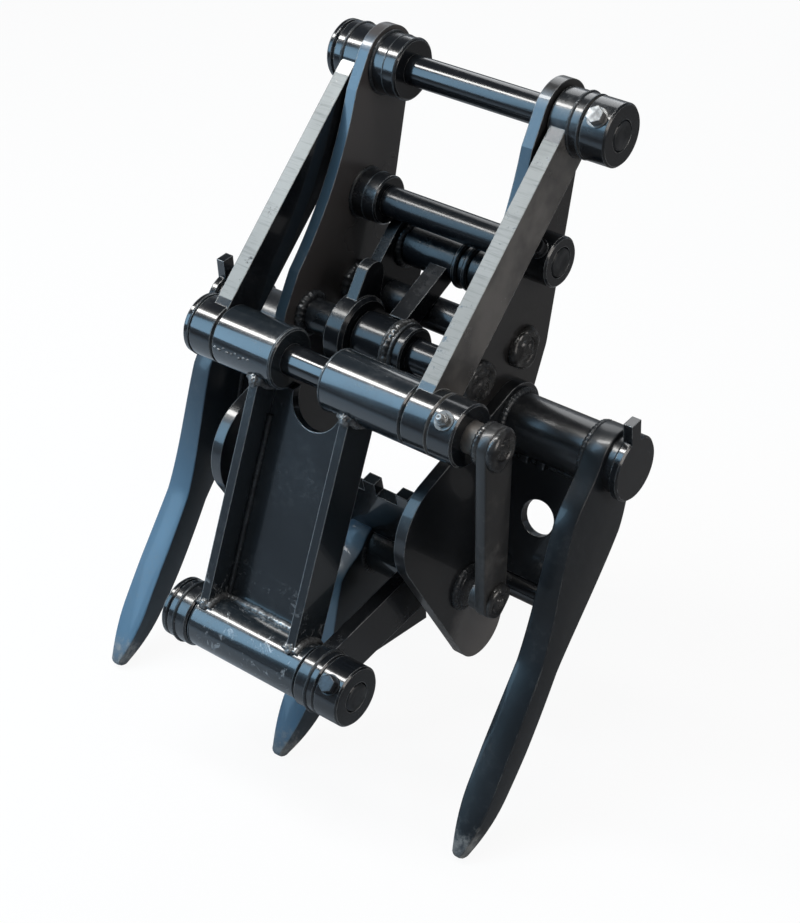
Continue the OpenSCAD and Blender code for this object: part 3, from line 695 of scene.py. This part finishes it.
ringWelds = {"lift": 0.0005, "plate": 0.0015, "heavyPlate": 0.0020, "pivotPlate": 0.0010, "finePlate": 0.0008}
shaftRing = radiusOf("front_cross_shaft") + ringWelds["lift"]
tubeRing = radiusOf("torque_tube") + ringWelds["lift"]
braceRing = radiusOf("brace_bars") + ringWelds["lift"]
jawRing = radiusOf("jaw_tube") + ringWelds["lift"]
earBead, sideBead, tineBead = (face + way * ringWelds["plate"] for face, way in (
    (earIn, -1), (sideOut, 1), (tineIn, -1)))
rearRings = {
    "heavy": [(place, shaftRing, side * (earIn - ringWelds["heavyPlate"]))
              for place in ("crossFront", "crossRear") for side in (-1, 1)],
    "plain": [("torque", tubeRing, side * x) for x in (sideBead, tineBead, earBead) for side in (-1, 1)]
    + [("hanger", 0.0172, faceOf("hanger_cheek", 1) + ringWelds["plate"]), ("hanger", 0.0172, earBead),
       ("crossFront", 0.0150, -0.0445)]
    + [("pivot", 0.0165, side * (sideOut + ringWelds["pivotPlate"])) for side in (-1, 1)],
    "fine": [("dipper", radiusOf("dipper_pin"), -earIn + ringWelds["finePlate"]),
             ("link", radiusOf("link_pin"), -earIn + ringWelds["finePlate"])],
    "thin": [("brace", braceRing, side * x) for x in (sideBead, tineBead) for side in (-1, 1)]
    + [("crossFront", 0.0220, 0.0125), ("crossFront", 0.0220, 0.0205)],
}
mesh = bmesh.new()
for size, rings in rearRings.items():
    for place, radius, x in rings:
        ringBead(mesh, place, radius, x, beadOf(size))
finishPiece("rearJawWelds", mesh, "weldDark", "rear_jaw")
print("rear jaw ring welds laid")

ribWelds = {"topSweep": 84, "bottomSweep": 92}
ribWay = angleOf(between("front", "low"))
mesh = bmesh.new()
for x in [faceOf(rib, side) + side * ringWelds["lift"] for rib in ribs for side in (-1, 1)]:
    ringBead(mesh, "front", radiusOf("left_link_tube") + ringWelds["lift"], x, beadOf("plain"),
             ribWay - ribWelds["topSweep"] / 2, ribWelds["topSweep"])
    ringBead(mesh, "low", radiusOf("lower_link_tube") + ringWelds["lift"], x, beadOf("plain"),
             ribWay + 180 - ribWelds["bottomSweep"] / 2, ribWelds["bottomSweep"])
finishPiece("linkRibWelds", mesh, "weldBright", "front_link")

armWelds = {"inner": 0.0555, "outer": 0.0695, "sweep": 140, "collar": 0.0687, "collarRadius": 0.0248,
            "tine": 0.0100, "tineFrom": 150, "tineSweep": 150}
armWay = angleOf(between("pivot", "low"))
mesh = bmesh.new()
for x in (-armWelds["inner"], -armWelds["outer"], armWelds["inner"], armWelds["outer"]):
    ringBead(mesh, "pivot", jawRing, x, beadOf("plain"), armWay - armWelds["sweep"] / 2, armWelds["sweep"])
for side in (-1, 1):
    ringBead(mesh, "low", armWelds["collarRadius"], side * armWelds["collar"], beadOf("fine"))
for side in (-1, 1):
    ringBead(mesh, "pivot", jawRing, side * armWelds["tine"], beadOf("plain"), armWelds["tineFrom"],
             armWelds["tineSweep"])
finishPiece("frontJawWelds", mesh, "weldDark", "front_jaw")

rockerBoss = {"x": 0.1077, "radius": 0.0246}
mesh = bmesh.new()
for side in (-1, 1):
    ringBead(mesh, "dipper", rockerBoss["radius"], side * rockerBoss["x"], beadOf("fine"))
finishPiece("rockerBossWelds", mesh, "weldDark", "rocker")

leverWelds = {
    "rings": [("front", 0.0140, 0.1545, beadOf("plain", drift=0.0016, grain=60.0)),
              ("front", 0.0118, 0.1666, beadOf("heavy", drift=0.0030, ripple=0.0, grain=60.0)),
              ("leverFoot", 0.0100, 0.1664, beadOf("heavy", drift=0.0034, ripple=0.0, grain=50.0))],
    "lumps": [("leverFoot", 0.1670, (0.0042, 0.0095, 0.0100), 0.0026, 4.0),
              ("front", 0.1662, (0.0036, 0.0115, 0.0105), 0.0024, 9.0)],
}
mesh = bmesh.new()
for place, radius, x, bead in leverWelds["rings"]:
    ringBead(mesh, place, radius, x, bead)
for place, x, size, rough, seed in leverWelds["lumps"]:
    weldLump(mesh, (x, *places[place]), size, rough, seed)
finishPiece("leverWelds", mesh, "weldRough", "rocker")
print("ring welds laid")

# The link's seams: ribs to plate, plate to lower tube, and a bright lump at each rib's front corners
linkSeams = {"inset": 0.0011, "depth": 0.0065, "top": 0.050, "bottom": 0.203,
             "tubeInset": 0.0020, "tubeGap": 0.0225, "tubeDepth": 0.0060}
ribLumps = {
    "top": {"along": 0.0215, "depth": -0.0150, "size": (0.0046, 0.0064, 0.0060), "rough": 0.0016,
            "seed": 2.0},
    "bottom": {"fromEnd": 0.0180, "depth": -0.0155, "size": (0.0044, 0.0050, 0.0048), "rough": 0.0012,
               "seed": 6.0},
}
drips = {"count": 9, "x": -0.088, "pitch": 0.0042, "along": 0.0072, "wave": 0.0012, "turn": 2.3,
         "ahead": 0.0238, "size": (0.0016, 0.0010, 0.0010), "rough": 0.0004}
linkHeading = between("front", "low").normalized()
linkBehind = Vector((0, -linkHeading.z, linkHeading.y))
linkLong = between("front", "low").length


def onLink(x, along, depth):
    return Vector((x, *places["front"])) + linkHeading * along + linkBehind * depth


mesh = bmesh.new()
for rib, side in zip(ribs, (1, -1)):
    x = faceOf(rib, side) + side * linkSeams["inset"]
    seamBead(mesh, onLink(x, linkSeams["top"], linkSeams["depth"]),
             onLink(x, linkSeams["bottom"], linkSeams["depth"]), beadOf("thin"))
finishPiece("linkSeamWelds", mesh, "weldDark", "front_link")

mesh = bmesh.new()
start, end = (onLink(faceOf(rib, side) + side * linkSeams["tubeInset"], linkLong - linkSeams["tubeGap"],
                     linkSeams["tubeDepth"]) for rib, side in zip(ribs, (1, -1)))
seamBead(mesh, start, end, beadOf("plain", drift=0.0013))
for rib in ribs:
    for lump, along in ((ribLumps["top"], ribLumps["top"]["along"]),
                        (ribLumps["bottom"], linkLong - ribLumps["bottom"]["fromEnd"])):
        weldLump(mesh, onLink(centreOf(rib), along, lump["depth"]), lump["size"], lump["rough"],
                 lump["seed"] + centreOf(rib) * 40)
for step in range(drips["count"]):
    along = drips["along"] + drips["wave"] * math.sin(step * drips["turn"])
    weldLump(mesh, onLink(drips["x"] + step * drips["pitch"], along, -drips["ahead"]), drips["size"],
             drips["rough"], step)
finishPiece("linkCornerWelds", mesh, "weldBright", "front_link")
print("link seams laid")

# The webs' seams to the side plates, the tines and the torque tube, and small tabs below the tube
webs = {"lean": -20.0, "half": 0.0045, "top": 0.027, "bottom": 0.118, "inset": 0.0008,
        "tubeInset": 0.0030, "tubeGap": 0.0240}
tabs = {"places": (0.1050, 0.1190, 0.1350), "size": (0.0090, 0.0070, 0.0080), "down": 0.0225, "ahead": 0.0090,
        "soften": 0.0012}
webDown = leaned(webs["lean"]).to_3x3() @ Vector((0, 0, -1))
webFront = Vector((0, webDown.z, -webDown.y))


def onWeb(x, down, ahead):
    return Vector((x, *places["torque"])) + webDown * down + webFront * ahead


mesh = bmesh.new()
for side in (-1, 1):
    for x in (sideOut + webs["inset"], tineIn - webs["inset"]):
        for face in (-1, 1):
            seamBead(mesh, onWeb(side * x, webs["top"], face * webs["half"]),
                     onWeb(side * x, webs["bottom"], face * webs["half"]), beadOf("thin"))
    seamBead(mesh, onWeb(side * (sideOut + webs["tubeInset"]), webs["tubeGap"], webs["half"]),
             onWeb(side * (tineIn - webs["tubeInset"]), webs["tubeGap"], webs["half"]), beadOf("thin"))
finishPiece("webSeamWelds", mesh, "weldDark", "rear_jaw")

mesh = bmesh.new()
for side in (-1, 1):
    for x in tabs["places"]:
        stand = Matrix.Translation(onWeb(side * x, tabs["down"], tabs["ahead"])) @ leaned(webs["lean"])
        bmesh.ops.create_cube(mesh, size=1.0, matrix=stand @ Matrix.Diagonal((*tabs["size"], 1.0)))
softenEdges(mesh, tabs["soften"])
finishPiece("tubeTabs", mesh, "blackPaint", "rear_jaw")
print("web seams laid")

# The tines, cut from thick plate: a shank that sweeps forward and is forged down to a spear point
tine = {"steps": 48, "root": 0.0378, "shank": 0.0135, "point": 0.0064, "rootAt": 0.167, "shankAt": 0.52,
        "taperAt": 0.72, "taper": 1.4, "easeShare": 0.35, "thick": 0.018, "spearLong": 0.050,
        "spearShare": 0.42, "flareFrom": 0.30, "flareFull": 0.085, "flare": 0.42,
        "roundOff": 0.80, "soften": 0.0011, "pointShares": ((0.45, 0.92), (0.75, 0.70), (0.95, 0.36))}
tines = {
    "left_tine": {"body": "rear_jaw", "from": "torque", "bend": (-0.1660, -0.37248), "eye": 0.0279},
    "right_tine": {"body": "rear_jaw", "from": "torque", "bend": (-0.1660, -0.37248), "eye": 0.0279},
    "middle_tine": {"body": "front_jaw", "from": "pivot", "bend": (-0.2160, -0.4340), "eye": 0.0249},
}


def capped(share):
    return min(1.0, max(0.0, share))


def eased(share):
    share = capped(share)
    return share * share * (3 - 2 * share)


def tineWidth(share, eye):
    # half the width of the plate, from the eye to the point
    if share < tine["rootAt"]:
        return eye + (tine["root"] - eye) * eased(share / tine["rootAt"])
    if share < tine["taperAt"]:
        along = (share - tine["rootAt"]) / (tine["shankAt"] - tine["rootAt"])
        return tine["root"] + (tine["shank"] - tine["root"]) * (
            tine["easeShare"] * eased(along) + (1 - tine["easeShare"]) * capped(along))
    along = (share - tine["taperAt"]) / (1 - tine["taperAt"])
    return tine["shank"] + (tine["point"] - tine["shank"]) * along ** tine["taper"]


def tineStations(start, bend, end, eye):
    # middle, way and half width at each station, from the back of the eye to the point
    first, last = (bend - start).normalized(), (end - bend).normalized()
    stations = []
    for angle in range(9, 90, 9):
        stations.append((start - first * eye * math.cos(math.radians(angle)), first,
                         eye * math.sin(math.radians(angle))))
    for step in range(tine["steps"] + 1):
        share = step / tine["steps"]
        a, b = start.lerp(bend, share), bend.lerp(end, share)
        stations.append((a.lerp(b, share), (b - a).normalized(), tineWidth(share, eye)))
    for reach, narrow in tine["pointShares"]:
        stations.append((end + last * tine["point"] * reach, last, tine["point"] * narrow))
    return stations


def tineSpread(behind):
    # the lower half is hammered wider across the pins, and the last stretch to a rounded spear point
    flared = (tine["flareFrom"] - behind) / (tine["flareFrom"] - tine["flareFull"])
    spread = 1.0 + tine["flare"] * eased(flared)
    spread *= 1.0 - capped(1.0 - behind / tine["spearLong"]) ** 2 * (1.0 - tine["spearShare"])
    return spread * math.sqrt(1.0 - tine["roundOff"] * capped(-behind / tine["point"]) ** 2)


def forgeTine(name, look):
    start, bend, end = (Vector(place) for place in (places[look["from"]], look["bend"], places["tip"]))
    middleX = centreOf(name)
    mesh = bmesh.new()
    edge = None
    for middle, way, wide in tineStations(start, bend, end, look["eye"]):
        across = Vector((-way.y, way.x)) * wide
        corners = [Vector((middleX - tine["thick"] / 2, *(middle + across * side))) for side in (-1, 1)]
        if edge is None:
            verts = [mesh.verts.new(corner) for corner in corners]
            edge = mesh.edges.new(verts)
            continue
        pulled = bmesh.ops.extrude_edge_only(mesh, edges=[edge])["geom"]
        edge = next(item for item in pulled if isinstance(item, bmesh.types.BMEdge))
        # the pulled corners still lie on the last ones, so the nearer one follows its own side
        verts = sorted(edge.verts, key=lambda vert: (vert.co - verts[0].co).length)
        for vert, corner in zip(verts, corners):
            vert.co = corner
    pulled = bmesh.ops.extrude_face_region(mesh, geom=list(mesh.faces), use_keep_orig=True)
    moved = [item for item in pulled["geom"] if isinstance(item, bmesh.types.BMVert)]
    bmesh.ops.translate(mesh, vec=(tine["thick"], 0, 0), verts=moved)
    bmesh.ops.recalc_face_normals(mesh, faces=mesh.faces)
    tip = Vector((middleX, *places["tip"]))
    last = Vector((0, *(end - bend))).normalized()
    for vert in mesh.verts:
        vert.co.x = middleX + (vert.co.x - middleX) * tineSpread((tip - vert.co).dot(last))
    softenEdges(mesh, tine["soften"])
    sharpen(finishPiece(name.replace("_tine", "TineBlade"), mesh, "tinePaint", look["body"],
                        [name]), 30)


for name, look in tines.items():
    forgeTine(name, look)
print("tines forged")

# The side lever: a plate with a round head on the front pin and a smaller foot that carries a weld
lever = {"inner": 0.1560, "thick": 0.0100, "head": 0.0170, "foot": 0.0140, "soften": 0.0016,
         "bossRadius": 0.0125, "bossFrom": 0.1500, "bossOver": 0.0005}
mesh = bmesh.new()
for place, radius in (("front", lever["head"]), ("leverFoot", lever["foot"])):
    disc(mesh, alongPins(0, place), lever["inner"], lever["inner"] + lever["thick"], radius, 48)
hull = bmesh.ops.convex_hull(mesh, input=list(mesh.verts))
bmesh.ops.delete(mesh, geom=[item for item in hull["geom_interior"] if item.is_valid], context="VERTS")
outside = set(hull["geom"])
bmesh.ops.delete(mesh, geom=[face for face in mesh.faces if face not in outside], context="FACES_ONLY")
bmesh.ops.dissolve_limit(mesh, angle_limit=math.radians(1), verts=mesh.verts, edges=mesh.edges)
softenEdges(mesh, lever["soften"], 60)
disc(mesh, alongPins(0, "leverFoot"), lever["bossFrom"] - lever["bossOver"],
     lever["inner"] + lever["bossOver"], lever["bossRadius"], 32)
sharpen(finishPiece("leverBlade", mesh, "leverPaint", "rocker", ["side_lever"]), 30)
print("lever made")

# Plug welds that close the shaft holes, and the flat heads of the jaw pivot
plugs = {"out": 0.0005, "reach": 0.0066, "radius": 0.0160, "rough": 0.0026, "rim": 0.0132, "rimOut": 0.0015,
         "rimDrift": 0.0030, "rimGrain": 55.0}
mesh = bmesh.new()
for number, place in enumerate(("crossFront", "crossRear")):
    for side in (-1, 1):
        weldLump(mesh, (side * (earOut + plugs["out"]), *places[place]),
                 (plugs["reach"], plugs["radius"], plugs["radius"]), plugs["rough"], number * 3.0 + side)
        ringBead(mesh, place, plugs["rim"], side * (earOut + plugs["rimOut"]), beadOf(
            "heavy", drift=plugs["rimDrift"], ripple=0.0, grain=plugs["rimGrain"], seed=number + 5.0))
finishPiece("shaftPlugWelds", mesh, "weldRough", "rear_jaw", ["cross_shaft_welds"])

pivotHead = [(0.0985, 0.0), (0.0985, 0.0158), (0.1030, 0.0158), (0.1046, 0.0144), (0.1050, 0.0080),
             (0.1050, 0.0)]
mesh = bmesh.new()
for side in (-1, 1):
    turnedPart(mesh, "pivot", [(side * x, radius) for x, radius in pivotHead])
finishPiece("pivotHeads", mesh, "darkBolt", "rear_jaw", ["pivot_end_discs"])

sleeveBeads = {"drift": 0.0019, "rings": ((0.0160, 0.0205, "heavy"), (0.0135, 0.0195, "plain"),
                                          (0.0190, 0.0195, "plain"))}
mesh = bmesh.new()
for x, radius, size in sleeveBeads["rings"]:
    ringBead(mesh, "crossFront", radius, x, beadOf(size, drift=sleeveBeads["drift"]))
finishPiece("sleeveWeld", mesh, "weldRough", "rear_jaw")

# Fine rings where the bosses were turned, and the stepped ends of the pins
turnedRings = {
    "rear_jaw": [("dipper", -0.0665), ("dipper", -0.0560), ("link", -0.0665)],
    "rocker": [("dipper", 0.1160), ("front", -0.1172)],
    "front_link": [("front", 0.0165), ("front", -0.0345), ("low", 0.0545), ("low", -0.0545)],
}
fineRing = {"width": 0.0011, "step": 0.0016, "ripple": 0.0, "pitch": 1.0, "drift": 0.00006, "seed": 0.0,
            "grain": 110.0}
for body, rings in turnedRings.items():
    mesh = bmesh.new()
    for place, x in rings:
        ringBead(mesh, place, radiusOf(carriers[place]), x, fineRing)
    finishPiece(body + "TurnedRings", mesh, "ringEdge", body)

pinEnds = {"rear_jaw": [("dipper_pin", 1), ("link_pin", 1), ("dipper_pin", -1), ("link_pin", -1)],
           "rocker": [("front_pin", -1)],
           "front_jaw": [("lower_pin", 1), ("lower_pin", -1)]}
pinPlaces = {"dipper_pin": "dipper", "link_pin": "link", "front_pin": "front", "lower_pin": "low"}
pinFace = {"sunk": 0.0003, "rightRadius": 0.0112, "leftRadius": 0.0175, "edge": 0.0006, "top": 0.0011,
           "slope": 0.0007, "half": 0.0009, "middle": 0.0007}
for body, ends in pinEnds.items():
    mesh = bmesh.new()
    for pin, way in ends:
        x = faceOf(pin, way) - way * pinFace["sunk"]
        wide = pinFace["rightRadius"] if way > 0 else pinFace["leftRadius"]
        turnedPart(mesh, pinPlaces[pin], [
            (x, 0.0), (x, wide), (x + way * pinFace["edge"], wide),
            (x + way * pinFace["top"], wide - pinFace["slope"]), (x + way * pinFace["half"], wide / 2),
            (x + way * pinFace["middle"], 0.0)])
    finishPiece(body + "PinEnds", mesh, "pinEnd", body)
print("turned details made")

# Collar bolts with washers and nuts, and the grease nipple
bolt = {"lean": 40.0, "sunk": 0.0006, "shank": 0.0040, "shankShare": 0.8, "shankLong": 0.0022,
        "shankIn": 0.0005, "across": 0.0073, "head": 0.0056, "washer": 0.0085, "washerThick": 0.0013,
        "soften": 0.0006}
bolts = {
    "rearCollarBolts": ("rear_jaw", "dipper", "dipper_pin_collar", "zincBolt", ["rear_collar_bolts"]),
    "linkCollarBolt": ("rear_jaw", "link", "link_pin_collar", "darkBolt", []),
    "lowerCollarBolt": ("front_jaw", "low", "lower_pin_collar", "darkBolt", ["lower_collar_bolt"]),
}
for name, (body, place, collar, finish, replaced) in bolts.items():
    mesh = bmesh.new()
    upright = Matrix.Translation((centreOf(collar), *places[place])) @ leaned(bolt["lean"])
    seat = radiusOf(collar) - bolt["sunk"]
    face = seat + bolt["washerThick"]
    top = face + bolt["head"]
    for stand in (upright @ leaned(180), upright):
        disc(mesh, stand, seat, face, bolt["washer"], 28)
        disc(mesh, stand, face, top, bolt["across"], 6)
    disc(mesh, upright @ leaned(180), top - bolt["shankIn"], top + bolt["shankLong"], bolt["shank"], 20,
         bolt["shank"] * bolt["shankShare"])
    softenEdges(mesh, bolt["soften"], 50, 2)
    sharpen(finishPiece(name, mesh, finish, body, replaced), 12)

nipple = {"base": 0.0252, "padIn": 0.0010, "pad": 0.0078, "padOut": 0.0006, "hex": 0.0055, "hexOut": 0.0040,
          "soften": 0.0003, "profile": [
              (0.0040, 0.0), (0.0040, 0.0042), (0.0036, 0.0048), (0.0027, 0.0052), (0.0022, 0.0066),
              (0.0025, 0.0074), (0.0031, 0.0081), (0.0031, 0.0087), (0.0022, 0.0093), (0.0010, 0.0094),
              (0.0006, 0.0088), (0.0, 0.0086)]}
mesh = bmesh.new()
stand = Matrix.Translation((centreOf("front_pin_collar"), *places["front"])) @ leaned(bolt["lean"])
stand = stand @ Matrix.Translation((0, 0, nipple["base"]))
disc(mesh, stand, -nipple["padIn"], nipple["padOut"], nipple["pad"], 28)
disc(mesh, stand, nipple["padOut"], nipple["hexOut"], nipple["hex"], 6)
spunProfile(mesh, stand, nipple["profile"])
softenEdges(mesh, nipple["soften"], 55, 2)
sharpen(finishPiece("greaseNipple", mesh, "zincBolt", "rocker", ["grease_nipple"]), 20)
print("fasteners made")

# Floor, lamps and camera

floorLook = {"half": 9.0, "below": 0.0005, "rough": 0.9, "colour": (0.70, 0.72, 0.74), "glow": 0.93,
             "gloss": 0.10, "window": (-0.75, -0.66, 0.0), "reach": (-0.30, 0.75),
             "lit": (0.42, 0.48, 0.54), "shaded": (0.055, 0.055, 0.058)}
skyLook = {"gloss": 0.04, "reach": (0.0, 0.45), "low": (0.20, 0.24, 0.29), "high": (0.022, 0.025, 0.03),
           "paper": (1.0, 1.0, 1.0)}


def seenBy(tree, rays, gloss):
    # full for the camera and through glass, and only a share of it for the gloss of the paint
    glossy = timesNode(tree, rays.outputs["Is Glossy Ray"], gloss)
    seen = mathNode(tree, "ADD", rays.outputs["Is Camera Ray"], glossy, clamp=True)
    return mathNode(tree, "ADD", seen, rays.outputs["Is Transmission Ray"], clamp=True)


floorHeight = min(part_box(name)[0].z for name in ("left_tine", "right_tine"))
mesh = bmesh.new()
bmesh.ops.create_grid(mesh, x_segments=2, y_segments=2, size=floorLook["half"],
                      matrix=Matrix.Translation((0, 0, floorHeight - floorLook["below"])))
data = bpy.data.meshes.new("floor")
mesh.to_mesh(data)
mesh.free()
floor = bpy.data.objects.new("floor", data)
bpy.context.collection.objects.link(floor)
material, tree, shader, coords = startMaterial("floorPaper")
shader.inputs["Roughness"].default_value = floorLook["rough"]
glow = addNode(tree, "ShaderNodeEmission")
rays = addNode(tree, "ShaderNodeLightPath")
# the gloss sees paper that is lighter by the window, in front and to the left
toWindow = facingNode(tree, coords.outputs["Object"], floorLook["window"])
toWindow = rangeNode(tree, toWindow, *floorLook["reach"])
mirrored = mixColour(tree, toWindow, floorLook["shaded"], floorLook["lit"])
tree.links.new(mixColour(tree, rays.outputs["Is Glossy Ray"], floorLook["colour"], mirrored),
               shader.inputs["Base Color"])
shade = addNode(tree, "ShaderNodeMixShader")
tree.links.new(timesNode(tree, seenBy(tree, rays, floorLook["gloss"]), floorLook["glow"]), shade.inputs[0])
tree.links.new(shader.outputs[0], shade.inputs[1])
tree.links.new(glow.outputs[0], shade.inputs[2])
tree.links.new(shade.outputs[0], tree.nodes["Material Output"].inputs["Surface"])
data.materials.append(material)

world = bpy.data.worlds.new("studio")
bpy.context.scene.world = world
world.use_nodes = True
tree = world.node_tree
rays = addNode(tree, "ShaderNodeLightPath")
toward = addNode(tree, "ShaderNodeTexCoord")
height = splitNode(tree, toward.outputs["Generated"])["Z"]
sky = mixColour(tree, rangeNode(tree, height, *skyLook["reach"]), skyLook["low"], skyLook["high"])
tree.links.new(mixColour(tree, seenBy(tree, rays, skyLook["gloss"]), sky, skyLook["paper"]),
               tree.nodes["Background"].inputs["Color"])

lamps = {
    "skyWindow": {"at": (-0.85, -1.12, 0.76), "aim": (-0.02, -0.14, -0.24), "size": (1.7, 0.48),
                  "colour": (0.42, 0.72, 1.0), "power": 13.5},
    "topStrip": {"at": (-0.55, -0.34, 1.12), "aim": (0.0, -0.16, -0.20), "size": (2.3, 0.19),
                 "colour": (1.0, 0.985, 0.96), "power": 34.0},
    "rightWall": {"at": (1.45, -0.15, 0.45), "aim": (-0.05, -0.10, -0.15), "size": (0.9, 0.9),
                  "colour": (1.0, 0.94, 0.89), "power": 9.0},
    "backFill": {"at": (-0.70, 1.60, 0.95), "aim": (0.0, -0.10, -0.22), "size": (1.4, 1.0),
                 "colour": (0.96, 0.98, 1.0), "power": 11.0},
}
for name, lamp in lamps.items():
    light = bpy.data.lights.new(name, "AREA")
    light.shape = "RECTANGLE"
    light.size, light.size_y = lamp["size"]
    light.color = lamp["colour"]
    light.energy = lamp["power"]
    holder = bpy.data.objects.new(name, light)
    holder.location = lamp["at"]
    holder.rotation_euler = (Vector(lamp["at"]) - Vector(lamp["aim"])).to_track_quat("Z", "X").to_euler()
    bpy.context.collection.objects.link(holder)

view = {"turn": 40.658, "rise": 35.701, "roll": -3.479, "away": 1.6366, "aim": (0.0, -0.120, -0.220),
        "lens": 80.04, "shift": (0.01507, -0.07351)}
turn, rise, roll = (math.radians(view[name]) for name in ("turn", "rise", "roll"))
back = Vector((math.sin(turn) * math.cos(rise), -math.cos(turn) * math.cos(rise), math.sin(rise)))
right = Vector((math.cos(turn), math.sin(turn), 0))
up = back.cross(right)
camera = bpy.data.objects.new("camera", bpy.data.cameras.new("camera"))
camera.matrix_world = Matrix.Translation(Vector(view["aim"]) + back * view["away"]) @ Matrix((
    right * math.cos(roll) + up * math.sin(roll), up * math.cos(roll) - right * math.sin(roll), back)
    ).transposed().to_4x4()
camera.data.sensor_width = 36.0
camera.data.lens = view["lens"]
camera.data.shift_x, camera.data.shift_y = view["shift"]
bpy.context.collection.objects.link(camera)
bpy.context.scene.camera = camera
bpy.context.scene.view_settings.view_transform = "Standard"
print("floor, lamps and camera set")
